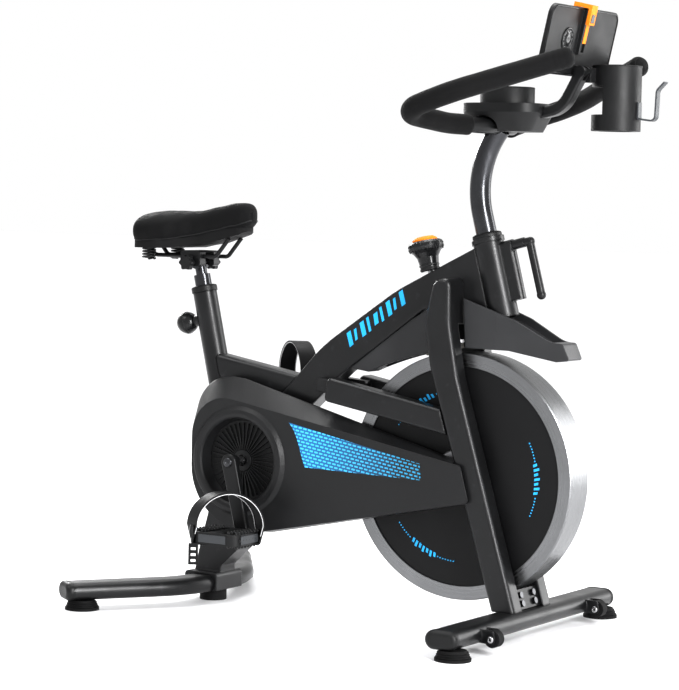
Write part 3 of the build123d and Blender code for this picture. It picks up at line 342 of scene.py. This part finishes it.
def frame_along(points, up, closed=False):
    """A right-hand frame (across, up) at each point of a path."""
    frames = []
    count = len(points)
    for index in range(count):
        if closed:
            ahead = points[(index + 1) % count] - points[index - 1]
        else:
            ahead = points[min(index + 1, count - 1)] - points[max(index - 1, 0)]
        ahead.normalize()
        across = ahead.cross(up)
        if across.length < 1e-6:
            across = ahead.cross(Vector((0, 0, 1)))
        across.normalize()
        frames.append((across, across.cross(ahead).normalized()))
    return frames


def swept(points, section, up, closed=False, scale=None):
    """Vertices and faces of a section, given as (across, up) pairs, carried along a path."""
    frames = frame_along(points, up, closed)
    size = len(section)
    verts = []
    for index, (point, (across, rise)) in enumerate(zip(points, frames)):
        grow = scale[index] if scale else 1.0
        for u, v in section:
            verts.append(point + across * (u * grow) + rise * (v * grow))
    faces = []
    rows = len(points)
    for row in range(rows if closed else rows - 1):
        nxt = (row + 1) % rows
        for k in range(size):
            j = (k + 1) % size
            faces.append((row * size + k, row * size + j, nxt * size + j, nxt * size + k))
    if not closed:
        faces.append(tuple(range(size)))
        faces.append(tuple((rows - 1) * size + k for k in reversed(range(size))))
    return verts, faces


def rounded_path(corners, radii, step=0.004):
    """Straight runs joined by arcs, as a list of points."""
    points = [corners[0]]
    for index in range(1, len(corners) - 1):
        before, corner, after = corners[index - 1], corners[index], corners[index + 1]
        back = (before - corner).normalized()
        ahead = (after - corner).normalized()
        half = back.angle(ahead) / 2
        cut = radii[index - 1] / math.tan(half)
        start, end = corner + back * cut, corner + ahead * cut
        middle = corner + (back + ahead).normalized() * (radii[index - 1] / math.sin(half))
        swing = math.pi - 2 * half
        count = max(3, int(radii[index - 1] * swing / step))
        first, last = (start - middle).normalized(), (end - middle).normalized()
        for k in range(count + 1):
            points.append(middle + first.slerp(last, k / count) * radii[index - 1])
    points.append(corners[-1])
    return resampled(points, step)


def resampled(points, step):
    """The same path with evenly spaced points."""
    lengths = [0.0]
    for a, b in zip(points, points[1:]):
        lengths.append(lengths[-1] + (b - a).length)
    total = lengths[-1]
    count = max(2, int(total / step))
    out = []
    seek = 0
    for k in range(count + 1):
        want = total * k / count
        while seek < len(lengths) - 2 and lengths[seek + 1] < want:
            seek += 1
        span = lengths[seek + 1] - lengths[seek]
        share = (want - lengths[seek]) / span if span > 0 else 0
        out.append(points[seek].lerp(points[seek + 1], share))
    return out


def circle(radius, count):
    return [(radius * math.cos(2 * math.pi * k / count), radius * math.sin(2 * math.pi * k / count))
            for k in range(count)]


def turned(profile, origin, axis, count=48):
    """Vertices and faces of a profile of (radius, height) turned about an axis."""
    axis = Vector(axis).normalized()
    side = axis.orthogonal().normalized()
    other = axis.cross(side)
    verts = []
    for radius, height in profile:
        for k in range(count):
            angle = 2 * math.pi * k / count
            ring = side * math.cos(angle) + other * math.sin(angle)
            verts.append(origin + axis * height + ring * max(radius, 1e-5))
    faces = []
    for row in range(len(profile) - 1):
        for k in range(count):
            j = (k + 1) % count
            faces.append((row * count + k, row * count + j, (row + 1) * count + j, (row + 1) * count + k))
    faces.append(tuple(reversed(range(count))))
    faces.append(tuple((len(profile) - 1) * count + k for k in range(count)))
    return verts, faces


def merge(groups):
    """Several vertex and face lists as one."""
    verts, faces = [], []
    for more_verts, more_faces in groups:
        start = len(verts)
        verts.extend(more_verts)
        faces.extend(tuple(start + k for k in face) for face in more_faces)
    return verts, faces


def prism(corners, depth):
    """A flat outline of points pushed along a vector."""
    size = len(corners)
    verts = list(corners) + [corner + depth for corner in corners]
    faces = [tuple(range(size)), tuple(size + k for k in reversed(range(size)))]
    for k in range(size):
        j = (k + 1) % size
        faces.append((k, j, size + j, size + k))
    return verts, faces


def bolt(origin, axis, radius, height, socket=True):
    """Hexagon-socket button head, turned from a profile."""
    r, h = radius / 1000, height / 1000
    profile = [(0, 0), (r, 0), (r, h * 0.35), (r * 0.92, h * 0.7), (r * 0.7, h * 0.95), (r * 0.5, h)]
    if socket:
        profile += [(r * 0.42, h), (r * 0.42, h * 0.45), (0, h * 0.4)]
    else:
        profile += [(0, h)]
    return turned(profile, origin, axis, 36)


# ---- Saddle cushion ---------------------------------------------------------
def blend_table(table, x):
    """Smooth value between the rows of a table of (x, value)."""
    if x <= table[0][0]:
        return table[0][1]
    for (x0, v0), (x1, v1) in zip(table, table[1:]):
        if x <= x1:
            share = (x - x0) / (x1 - x0)
            share = share * share * (3 - 2 * share) * 0.5 + share * 0.5
            return v0 + (v1 - v0) * share
    return table[-1][1]


SADDLE_WIDTH = [(-726, 84), (-700, 92), (-668, 91), (-640, 80), (-615, 62), (-590, 47), (-560, 38),
                (-530, 33), (-500, 29), (-478, 27)]
SADDLE_TOP = [(-726, 738), (-700, 747), (-660, 750), (-620, 749), (-590, 752), (-550, 761),
              (-515, 768), (-490, 769), (-478, 765)]
SADDLE_LOW = [(-726, 686), (-690, 680), (-640, 683), (-590, 694), (-550, 704), (-510, 714),
              (-478, 722)]
SADDLE_ENDS = (-726, -478)
REAR_ROUND, NOSE_ROUND = 40, 26


def saddle_point(x, turn):
    """A point of the cushion's surface: x along it, turn around its section."""
    low_end, high_end = SADDLE_ENDS
    half = blend_table(SADDLE_WIDTH, x)
    top = blend_table(SADDLE_TOP, x)
    low = blend_table(SADDLE_LOW, x)
    ends = 1.0
    for reach, size in ((x - low_end, REAR_ROUND), (high_end - x, NOSE_ROUND)):
        if reach < size:
            ends *= math.sqrt(max(0.0, 1 - (1 - reach / size) ** 2.3))
    half *= ends
    middle = (top + low) / 2
    height = (top - low) / 2 * (0.25 + 0.75 * ends)
    c, s = math.cos(turn), math.sin(turn)
    power = 2 / 2.7 if s > 0 else 2 / 3.6
    y = half * math.copysign(abs(c) ** power, c)
    z = middle + height * math.copysign(abs(s) ** power, s)
    if s > 0:
        channel = math.exp(-(y / 13) ** 2) * 3.2
        channel *= max(0.0, min(1.0, (-520 - x) / 60)) * ends
        z -= channel
        z -= 5 * (abs(y) / 92) ** 2
    else:
        y *= 1 - 0.05 * abs(s)
    return at(x, y, z)


def make_saddle():
    rows, around = 96, 96
    low_end, high_end = SADDLE_ENDS
    verts, faces = [], []
    for row in range(rows + 1):
        share = 0.5 - 0.5 * math.cos(math.pi * row / rows)
        x = low_end + 0.4 + (high_end - low_end - 0.8) * share
        for k in range(around):
            verts.append(saddle_point(x, 2 * math.pi * k / around))
    for row in range(rows):
        for k in range(around):
            j = (k + 1) % around
            faces.append((row * around + k, row * around + j, (row + 1) * around + j,
                          (row + 1) * around + k))
    faces.append(tuple(range(around)))
    faces.append(tuple(rows * around + k for k in reversed(range(around))))
    made = piece("saddle_cushion", verts, faces, cover, "saddle_top", "saddle_cover")
    inflate(made)
    smooth = made.modifiers.new("smooth", "SUBSURF")
    smooth.levels = 1
    smooth.render_levels = 1
    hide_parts("saddle")
    return made


def inflate(made):
    """A short cloth run with pressure, so the cover pulls over its padding."""
    data = made.data
    before = [v.co.copy() for v in data.vertices]
    test = bpy.data.objects.new("saddle_try", data.copy())
    bpy.context.scene.collection.objects.link(test)
    test.vertex_groups.new(name="hold")
    low = min(v.co.z for v in data.vertices)
    held = [v.index for v in data.vertices if v.co.z < low + 0.016]
    test.vertex_groups["hold"].add(held, 1.0, "REPLACE")
    cloth = test.modifiers.new("cloth", "CLOTH")
    cloth.settings.use_pressure = True
    cloth.settings.uniform_pressure_force = 2.5
    cloth.settings.effector_weights.gravity = 0
    cloth.settings.tension_stiffness = 40
    cloth.settings.bending_stiffness = 2
    cloth.settings.vertex_group_mass = "hold"
    cloth.settings.quality = 4
    cloth.point_cache.frame_start = 1
    cloth.point_cache.frame_end = 12
    scene = bpy.context.scene
    for number in range(1, 13):
        scene.frame_set(number)
    done = test.evaluated_get(bpy.context.evaluated_depsgraph_get()).to_mesh()
    cap = 0.0025
    for vertex, old, new in zip(data.vertices, before, done.vertices):
        move = new.co - old
        if move.length > cap:
            move *= cap / move.length
        vertex.co = old + move
    scene.frame_set(1)
    bpy.data.objects.remove(test, do_unlink=True)


def make_saddle_details():
    """Seam piping round the cushion, two springs and the rear clips."""
    low_end, high_end = SADDLE_ENDS
    turn = math.radians(-24)
    loop = []
    for side in (0, 1):
        steps = range(70) if side == 0 else range(69, -1, -1)
        for k in steps:
            share = 0.5 - 0.5 * math.cos(math.pi * k / 69)
            x = low_end + 3 + (high_end - low_end - 6) * share
            angle = turn if side == 0 else math.pi - turn
            loop.append(saddle_point(x, angle))
    seam = swept(loop, circle(0.0013, 8), Vector((0, 0, 1)), closed=True)
    piece("saddle_piping", *seam, plastic, "saddle_top", "black_plastic")
    springs = []
    for side in (-1, 1):
        coil = []
        for k in range(181):
            share = k / 180
            angle = 2 * math.pi * 4.5 * share
            coil.append(at(-690 + 12 * math.cos(angle), side * 48 + 12 * math.sin(angle),
                           657 + 24 * share))
        springs.append(swept(coil, circle(0.0019, 10), Vector((0, 0, 1))))
        springs.append(swept([at(-694, side * 21, 664), at(-692, side * 34, 658), at(-690, side * 48, 657)],
                             circle(0.0025, 10), Vector((0, 0, 1))))
    piece("saddle_springs", *merge(springs), paint_dark, "saddle_top", "hidden_steel")
    stars = []
    for side in (-1, 1):
        origin = at(-603.4, side * 50, 652)
        star = []
        for k in range(60):
            angle = 2 * math.pi * k / 60
            radius = 0.0135 + 0.0018 * math.cos(6 * angle)
            star.append(origin + Vector((radius * math.cos(angle), -side * 0.012, radius * math.sin(angle))))
        stars.append(prism(star, Vector((0, side * 0.011, 0))))
    piece("star_nuts", *merge(stars), plastic, "saddle_mount", "black_plastic", smooth=False)


# ---- Handlebar grips --------------------------------------------------------
GRIP_RADIUS = 0.0185
GRIP_CORNERS = [(257, 140, 1034), (74, 252, 966), (-24, 236, 934), (6, 118, 919), (27.6, 78.8, 917.9)]
GRIP_ROUNDS = [0.130, 0.042, 0.120]


def make_grips():
    for side, name in ((-1, "right"), (1, "left")):
        corners = [at(x, side * y, z) for x, y, z in GRIP_CORNERS]
        path = rounded_path(corners, GRIP_ROUNDS, 0.003)
        lead = (path[0] - path[1]).normalized()
        path.insert(0, path[0] + lead * 0.0039)
        lengths = [0.0]
        for a, b in zip(path, path[1:]):
            lengths.append(lengths[-1] + (b - a).length)
        total = lengths[-1]
        scale = []
        for reach in lengths:
            grow = 1.0
            if reach < 0.014:
                grow = math.sqrt(max(0.01, 1 - (1 - reach / 0.014) ** 2))
            if total - reach < 0.006:
                grow = 0.86 + 0.14 * math.sqrt(max(0.0, 1 - (1 - (total - reach) / 0.006) ** 2))
            if 0.018 < reach < 0.046:
                grow -= 0.05 * max(0.0, math.sin((reach - 0.018) / 0.028 * 3 * 2 * math.pi))
            grow += 0.004 * math.sin(reach * 71 + side) + 0.003 * math.sin(reach * 173)
            scale.append(grow)
        body = swept(path, circle(GRIP_RADIUS, 40), Vector((0, 0, 1)), scale=scale)
        made = piece(f"foam_grip_{name}", *body, foam, "handlebar_column", "grip_foam")
        if side < 0:
            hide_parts("handlebar_grips")


# ---- Pedals and straps ------------------------------------------------------
PEDAL_HALF_LENGTH, PEDAL_HALF_WIDTH, PEDAL_HALF_HEIGHT = 0.052, 0.045, 0.011
STRAP_REACH, STRAP_CROWN, STRAP_LOW, STRAP_THICK = 0.0645, 0.0195, -0.0135, 0.0025
STRAP_HEADING = math.atan2(70, 92)
STRAP_SHEAR = 0.5


def strap_section(width):
    """Flat band with a raised rim along both edges."""
    half, thick, rim, rise = width / 2, STRAP_THICK / 2, 0.0016, 0.0009
    return [(-half, -thick), (half, -thick), (half, thick + rise), (half - rim, thick + rise),
            (half - rim - 0.0007, thick), (-half + rim + 0.0007, thick), (-half + rim, thick + rise),
            (-half, thick + rise)]


def make_pedal_trim(side, name):
    low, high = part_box(f"pedal_{name}")
    middle = (low + high) / 2
    turn = Matrix.Rotation(-side * STRAP_HEADING, 4, "Z")
    forward = turn @ Vector((1, 0, 0))
    across = turn @ Vector((0, 1, 0))
    up = Vector((0, 0, 1))

    def spot(u, w, v=0.0):
        return middle + forward * u + across * v + up * w

    def lean_share(point):
        return max(0.0, min(1.0, (point.z - middle.z + 0.008) / 0.03))

    shear = -side * STRAP_SHEAR
    reach = STRAP_REACH - STRAP_THICK / 2
    bottom = STRAP_LOW + STRAP_THICK / 2
    loop = []
    for k in range(12):
        loop.append(spot(-reach, bottom + 0.003 + (STRAP_CROWN - bottom) * k / 12))
    for k in range(61):
        angle = math.pi - math.pi * k / 60
        loop.append(spot(reach * math.cos(angle), STRAP_CROWN + reach * math.sin(angle)))
    for k in range(12):
        loop.append(spot(reach, STRAP_CROWN - (STRAP_CROWN - bottom - 0.003) * (k + 1) / 12))
    for k in range(1, 20):
        loop.append(spot(reach - 0.003 - (2 * reach - 0.006) * (k - 1) / 18, bottom))
    frames = []
    section = strap_section(0.030)
    verts = []
    count = len(loop)
    for index, point in enumerate(loop):
        ahead = (loop[(index + 1) % count] - loop[index - 1]).normalized()
        outward = ahead.cross(across) * -1
        frames.append((point, outward))
        for u, v in section:
            verts.append(point + across * u + outward * v - forward * (shear * u * lean_share(point)))
    size = len(section)
    faces = []
    for row in range(count):
        nxt = (row + 1) % count
        for k in range(size):
            j = (k + 1) % size
            faces.append((row * size + k, row * size + j, nxt * size + j, nxt * size + k))
    band = piece(f"toe_strap_band_{name}", verts, faces, strap_rubber, f"{name}_pedal", "strap_band",
                 smooth=False)
    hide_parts(f"toe_strap_{name}")
    # Light grey lines along both strap edges: painted highlight where the edges catch the light.
    highlight_lines = []
    for edge in (-1, 1):
        line = [point + across * (edge * 0.0142) + outward * (STRAP_THICK / 2 + 0.0008)
                - forward * (shear * edge * 0.0142 * lean_share(point))
                for point, outward in frames[6:80]]
        highlight_lines.append(swept(line, circle(0.0010, 8), across))
    piece(f"strap_painted_highlight_{name}", *merge(highlight_lines), painted_strap_highlight, f"{name}_pedal", "strap_band")

    grid = []
    columns = [-0.009, -0.0045, 0.0045, 0.009]
    rows = [0.0, -0.008, -0.013, -0.019, -0.024, -0.030, -0.035, -0.040]
    for w in rows:
        for v in columns:
            grid.append(spot(-STRAP_REACH + 0.004 + v, w - 0.010, side * 0.0165))
    quads = []
    for row in range(len(rows) - 1):
        for column in range(3):
            if column == 1 and row in (1, 3, 5):
                continue
            first = row * 4 + column
            quads.append((first, first + 1, first + 5, first + 4))
    tail = piece(f"strap_tail_{name}", grid, quads, strap_rubber, f"{name}_pedal", "strap_band",
                 smooth=False, closed=False)
    thicken = tail.modifiers.new("thick", "SOLIDIFY")
    thicken.thickness = 0.0024
    thicken.offset = 0
    soften = tail.modifiers.new("soft", "BEVEL")
    soften.width = 0.0005
    soften.segments = 2

    buckle = []
    for level, wide, deep in ((0.0, 0.016, 0.0035), (0.011, 0.016, 0.0045), (0.022, 0.015, 0.0032)):
        buckle.append([spot(-reach - deep, level, -wide), spot(-reach - deep, level, wide),
                       spot(-reach + 0.0025, level, wide), spot(-reach + 0.0025, level, -wide)])
    verts = [point for ring in buckle for point in ring]
    faces = [(0, 1, 2, 3), (11, 10, 9, 8)]
    for row in range(2):
        for k in range(4):
            j = (k + 1) % 4
            faces.append((row * 4 + k, row * 4 + j, row * 4 + 4 + j, row * 4 + 4 + k))
    block = piece(f"strap_buckle_{name}", verts, faces, plastic, f"{name}_pedal", "black_plastic",
                  smooth=False)
    edge_bevel = block.modifiers.new("soft", "BEVEL")
    edge_bevel.width = 0.0012
    edge_bevel.segments = 3

    teeth = []
    for face_up in (-1, 1):
        for lane in (-0.047, -0.030, 0.030, 0.047):
            for k in range(8):
                y = -0.035 + 0.010 * k
                base = middle + Vector((lane, y, face_up * PEDAL_HALF_HEIGHT))
                teeth.append(turned([(0.0040, -0.0005), (0.0036, 0.0014), (0.0018, 0.0048), (0, 0.0052)],
                                    base, (0, 0, face_up), 10))
    for end in (-1, 1):
        for k in range(7):
            y = -0.030 + 0.010 * k
            base = middle + Vector((end * PEDAL_HALF_LENGTH, y, 0.0))
            teeth.append(turned([(0.0032, -0.0004), (0.0030, 0.0008), (0.0, 0.0014)], base,
                                (end, 0, 0), 10))
    piece(f"pedal_teeth_{name}", *merge(teeth), plastic, f"{name}_pedal", "black_plastic")
    band_metal = []
    for end in (-1, 1):
        x = end * (PEDAL_HALF_LENGTH + 0.0004)
        line = [middle + Vector((x, -0.028 + 0.014 * k, 0)) for k in range(5)]
        band_metal.append(swept(line, [(-0.0075, -0.0005), (0.0075, -0.0005), (0.0075, 0.0008),
                                       (-0.0075, 0.0008)], Vector((end, 0, 0))))
    y = side * (PEDAL_HALF_WIDTH + 0.0004)
    line = [middle + Vector((-0.030 + 0.015 * k, y, 0)) for k in range(5)]
    band_metal.append(swept(line, [(-0.0075, -0.0005), (0.0075, -0.0005), (0.0075, 0.0008),
                                   (-0.0075, 0.0008)], Vector((0, side, 0))))
    piece(f"pedal_bands_{name}", *merge(band_metal), hook_grey, f"{name}_pedal", "black_plastic",
          smooth=False)


# ---- Prints on the frame, casing and wheel ----------------------------------
def make_prints():
    """Plain coloured marks: bars on the main tube, dashes on the casing, dots on the wheel."""
    face_y = -22.15
    start, end = Vector((-245, 505)), Vector((-111, 603))
    along = (end - start).normalized()
    rise = Vector((-along.y, along.x))
    bars = []
    for k in range(9):
        foot = start + along * (17 * k)
        tall = 25 if k % 3 != 1 else 19
        thick = 10 if k % 2 == 0 else 6
        slant = 9
        base = foot + rise * ((27 - tall) / 2)
        outline = [base, base + along * thick, base + along * (thick + slant) + rise * tall,
                   base + along * slant + rise * tall]
        for side in (1, -1):
            bars.append(prism([at(p.x, side * face_y, p.y) for p in outline],
                              Vector((0, side * -0.0003, 0))))
    piece("tube_marks", *merge(bars), sky_blue, "root", "frame_paint", smooth=False)

    outer = -84.12
    left = [(-337, 363), (-326, 350), (-319, 335), (-313, 318), (-307, 300), (-300, 282)]
    right = [(-52, 277), (-55, 307)]
    corners = left + right
    panel = prism([at(x, outer, z) for x, z in corners], Vector((0, -0.0004, 0)))
    piece("casing_dashes", *panel, graphic, "root", "casing_plastic", smooth=False)

    marks = []
    radius = 156
    for turn in range(3):
        centre = math.radians(2 + 120 * turn)
        for step in range(-12, 13):
            if abs(step) < 6:
                continue
            angle = centre + math.radians(2.05 * step)
            spot_x, spot_z = radius * math.cos(angle), radius * math.sin(angle)
            for side in (-1, 1):
                origin = at(spot_x, side * 32.05, AXLE_Z * 1000 + spot_z)
                marks.append(turned([(0.0014, -0.0002), (0.0014, 0.0003), (0, 0.0003)], origin,
                                    (0, side, 0), 10))
        for step in range(-3, 4):
            angle = centre + math.radians(3.1 * step)
            out = Vector((math.cos(angle), math.sin(angle)))
            tangent = Vector((-out.y, out.x))
            foot = out * (radius - 5)
            tall = 11 if step % 2 == 0 else 8
            wide = 4.6
            outline = [foot - tangent * wide / 2, foot + tangent * wide / 2,
                       foot + tangent * (wide / 2 + 2) + out * tall,
                       foot - tangent * (wide / 2 - 2) + out * tall]
            for side in (-1, 1):
                marks.append(prism([at(p.x, side * 32.05, AXLE_Z * 1000 + p.y) for p in outline],
                                   Vector((0, side * 0.0003, 0))))
    piece("wheel_marks", *merge(marks), sky_blue, "flywheel", "casing_plastic", smooth=False)


# ---- Small hardware ---------------------------------------------------------
def make_hardware():
    ribs = []
    for x, y in ((135, 288), (135, -288), (-676, 262), (-676, -262)):
        for radius, height in ((31.0, 3.2), (29.6, 7.2), (28.2, 11.0), (26.8, 14.6)):
            ring = [(radius - 2.4, -1.2), (radius, -1.1), (radius + 0.8, 0), (radius, 1.1),
                    (radius - 2.4, 1.2)]
            ribs.append(turned([(r / 1000, h / 1000) for r, h in ring], at(x, y, height), (0, 0, 1), 64))
    piece("foot_ribs", *merge(ribs), rubber, "root", "black_rubber")

    bolts = []
    for side in (-1, 1):
        bolts.append(bolt(at(170, side * 205 - 13.6, 30), (0, -1, 0), 6, 3.5))
        bolts.append(bolt(at(170, side * 205 + 13.6, 30), (0, 1, 0), 6, 3.5))
        bolts.append(bolt(at(112, side * 20, 540), (0.2, 0, 1), 5, 3))
    bolts.append(bolt(at(-448, -120, 283), (0, -1, 0), 9, 3.5))
    piece("root_bolts", *merge(bolts[:-1]), machined, "root", "bright_steel")
    piece("crank_caps", *merge([bolts[-1], bolt(at(-448, 120, 283), (0, 1, 0), 9, 3.5)]), post_steel,
          "crankset", "hidden_steel")

    rings = []
    for side in (-1, 1):
        profile = [(0.0315, 0.0), (0.050, 0.0), (0.050, 0.0012), (0.046, 0.0026), (0.036, 0.0026),
                   (0.0315, 0.0014)]
        rings.append(turned(profile, at(0, side * 37, AXLE_Z * 1000), (0, side, 0), 72))
    piece("hub_rings", *merge(rings), aluminium, "flywheel", "drive_metal")

    lean = math.radians(13.7)
    axis = Vector((-math.sin(lean), 0, math.cos(lean)))
    knob_foot = at(0, 0, AXLE_Z * 1000) + axis * 0.379
    ridges = []
    across = axis.cross(Vector((0, 1, 0))).normalized()
    for k in range(28):
        angle = 2 * math.pi * k / 28
        out = across * math.cos(angle) + Vector((0, 1, 0)) * math.sin(angle)
        line = [knob_foot + axis * 0.0385 + out * 0.0300, knob_foot + axis * 0.044 + out * 0.0322,
                knob_foot + axis * 0.049 + out * 0.0322, knob_foot + axis * 0.054 + out * 0.0296]
        ridges.append(swept(line, circle(0.0013, 8), axis))
    piece("knob_ridges", *merge(ridges), plastic_gloss, "knob", "black_plastic")
    collar = turned([(0.0174, 0), (0.0185, 0.001), (0.0185, 0.004), (0.0176, 0.005), (0.0176, 0.008),
                     (0.0187, 0.009), (0.0187, 0.012), (0.0178, 0.0132)], knob_foot + axis * 0.001, axis, 48)
    piece("knob_collar", *collar, plastic, "knob", "black_plastic")
    ball = at(-578.3, 0, 545) + Vector((-math.cos(math.radians(13.2)), 0,
                                        -math.sin(math.radians(13.2)))) * 0.052
    pull = Vector((math.cos(math.radians(13.2)), 0, math.sin(math.radians(13.2))))
    band = turned([(0.0203, -0.004), (0.0214, -0.003), (0.0216, 0), (0.0214, 0.003), (0.0203, 0.004)],
                  ball, pull, 48)
    piece("pull_band", *band, plastic, "pull_pin", "black_plastic")

    lean = math.radians(12.5)
    forward = Vector((math.cos(lean), 0, -math.sin(lean)))
    rise = Vector((math.sin(lean), 0, math.cos(lean)))
    foot = at(182, 0, 1008)
    dial = []
    centre = foot + forward * 0.007 + rise * 0.064 + Vector((0, -0.052, 0))
    dial.append(turned([(0.021, 0), (0.021, 0.0014), (0.019, 0.0022), (0.0175, 0.0010), (0.012, 0.0010),
                        (0.011, 0.0020), (0.004, 0.0022), (0, 0.0012)], centre, forward, 56))
    for k in range(10):
        angle = 2 * math.pi * k / 10
        spot = centre + (rise * math.cos(angle) + Vector((0, 1, 0)) * math.sin(angle)) * 0.0147
        dial.append(turned([(0.0012, 0.0005), (0.0012, 0.0016), (0, 0.0018)], spot, forward, 12))
    piece("holder_dial", *merge(dial), plastic_gloss, "tablet_holder", "black_plastic")
    edge = []
    half_w, top = 0.129, 0.119
    corner = 0.018
    path = []
    for cy, cz, first in ((half_w - corner, top - corner, 0), (-half_w + corner, top - corner, 90),
                          (-half_w + corner, 0.003 + corner, 180), (half_w - corner, 0.003 + corner, 270)):
        for k in range(9):
            angle = math.radians(first + 90 * k / 8)
            path.append(foot + forward * 0.0072 + Vector((0, cy + corner * math.cos(angle), 0))
                        + rise * (cz + corner * math.sin(angle)))
    edge.append(swept(path, circle(0.0013, 8), forward, closed=True))
    piece("holder_rim", *merge(edge), plastic_gloss, "tablet_holder", "black_plastic")
    window = [foot + forward * 0.0209 + rise * h + Vector((0, y, 0))
              for h, y in ((0.098, -0.0065), (0.098, 0.0065), (0.113, 0.0055), (0.113, -0.0055))]
    piece("clip_window", *prism(window, forward * 0.0007), plastic_gloss, "holder_clip", "black_plastic",
          smooth=False)

    tray_low, tray_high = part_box("console_tray")
    lip = turned([(0.0405, -0.001), (0.0485, -0.001), (0.0492, 0.0006), (0.0480, 0.0018), (0.0425, 0.0018),
                  (0.0405, 0.0004)], Vector(((tray_low.x + tray_high.x) / 2 - 0.003, 0, tray_high.z)),
                 (0, 0, 1), 72)
    piece("cup_lip", *lip, rubber, "handlebar_column", "black_rubber")
    ring_x = ORIGIN_X + 0.246
    ring_edge = turned([(0.0400, -0.0012), (0.0446, -0.0012), (0.0450, 0.0004), (0.0440, 0.0014),
                        (0.0415, 0.0014), (0.0400, 0.0004)], Vector((ring_x, 0.062, 1.0268)), (0, 0, 1), 64)
    piece("cage_edge", *ring_edge, plastic, "handlebar_column", "black_plastic")


def make_collars():
    """Rubber wiper under the handlebar post and the collar of the seat tube."""
    lean = math.radians(15)
    axis = Vector((-math.sin(lean), 0, math.cos(lean)))
    ring = turned([(0.0192, 0.0), (0.0268, 0.0), (0.0262, 0.0025), (0.0225, 0.0040), (0.0192, 0.0040)],
                  at(27, 0, 716) + axis * 0.005, axis, 56)
    piece("post_wiper", *ring, rubber, "root", "black_rubber")
    lean = math.radians(13.2)
    axis = Vector((-math.sin(lean), 0, math.cos(lean)))
    ring = turned([(0.0163, 0.0), (0.0246, 0.0), (0.0240, 0.0020), (0.0200, 0.0032), (0.0163, 0.0032)],
                  at(-590, 0, 595) + axis * 0.009, axis, 56)
    piece("seat_wiper", *ring, plastic, "root", "black_plastic")


make_saddle()
make_saddle_details()
make_grips()
make_pedal_trim(-1, "right")
make_pedal_trim(1, "left")
make_prints()
make_hardware()
make_collars()


# ---- Floor, light and camera ------------------------------------------------
def make_floor():
    data = bpy.data.meshes.new("floor")
    data.from_pydata([(-30, -30, 0), (30, -30, 0), (30, 30, 0), (-30, 30, 0)], [], [(0, 1, 2, 3)])
    floor = bpy.data.objects.new("floor", data)
    bpy.context.scene.collection.objects.link(floor)
    pale = material("pale_floor", (0.86, 0.86, 0.87), 0.7, grain=60, bump=0.01, mottle=0.01, edge=0)
    data.materials.append(pale)


def area_light(name, place, aim, size, power, tall=None):
    data = bpy.data.lights.new(name, "AREA")
    data.energy = power
    data.size = size
    if tall:
        data.shape = "RECTANGLE"
        data.size_y = tall
    lamp = bpy.data.objects.new(name, data)
    bpy.context.scene.collection.objects.link(lamp)
    lamp.location = place
    lamp.rotation_euler = (Vector(aim) - Vector(place)).to_track_quat("-Z", "Y").to_euler()


def sun_light(name, toward, strength, spread):
    """An even light from the direction of a vector, with soft shadows."""
    data = bpy.data.lights.new(name, "SUN")
    data.energy = strength
    data.angle = math.radians(spread)
    lamp = bpy.data.objects.new(name, data)
    bpy.context.scene.collection.objects.link(lamp)
    lamp.rotation_euler = Vector(toward).to_track_quat("Z", "Y").to_euler()


make_floor()
sun_light("key", (-0.35, -0.55, 1.0), 1.1, 25)
area_light("edge_strip", (3.0, -1.5, 1.5), (0.1, 0, 0.5), 0.5, 190, 2.2)
area_light("front_strip", (2.3, 3.2, 1.3), (0.2, 0, 0.5), 1.4, 75, 2.4)
area_light("top", (-0.6, 0.9, 3.6), (0, 0, 0.4), 1.6, 80)
area_light("left_back", (-2.8, 1.8, 1.8), (0, 0, 0.6), 1.0, 60)

world = bpy.data.worlds.new("studio")
bpy.context.scene.world = world
world.use_nodes = True
world.node_tree.nodes["Background"].inputs["Color"].default_value = (1, 1, 1, 1)
world.node_tree.nodes["Background"].inputs["Strength"].default_value = 1.0
bpy.context.scene.view_settings.view_transform = "Standard"
bpy.context.scene.view_settings.gamma = 0.86

CAMERA_AT = (2201.88, -4054.43, 790.99)
HEADING, PITCH, ROLL = 0.549619, -0.0596124, 0.02234
SENSOR_MM = 36
LENS_MM = 132.49
forward = Vector((-math.sin(HEADING) * math.cos(PITCH), math.cos(HEADING) * math.cos(PITCH),
                  math.sin(PITCH)))
right = Vector((math.cos(HEADING), math.sin(HEADING), 0))
upward = right.cross(forward)
camera_x = right * math.cos(ROLL) + upward * math.sin(ROLL)
camera_y = upward * math.cos(ROLL) - right * math.sin(ROLL)
lens = bpy.data.cameras.new("camera")
lens.sensor_width = SENSOR_MM
lens.lens = LENS_MM
lens.clip_end = 100
camera = bpy.data.objects.new("camera", lens)
bpy.context.scene.collection.objects.link(camera)
turn = Matrix((camera_x, camera_y, -forward)).transposed()
camera.matrix_world = Matrix.Translation(at(*CAMERA_AT)) @ turn.to_4x4()
bpy.context.scene.camera = camera
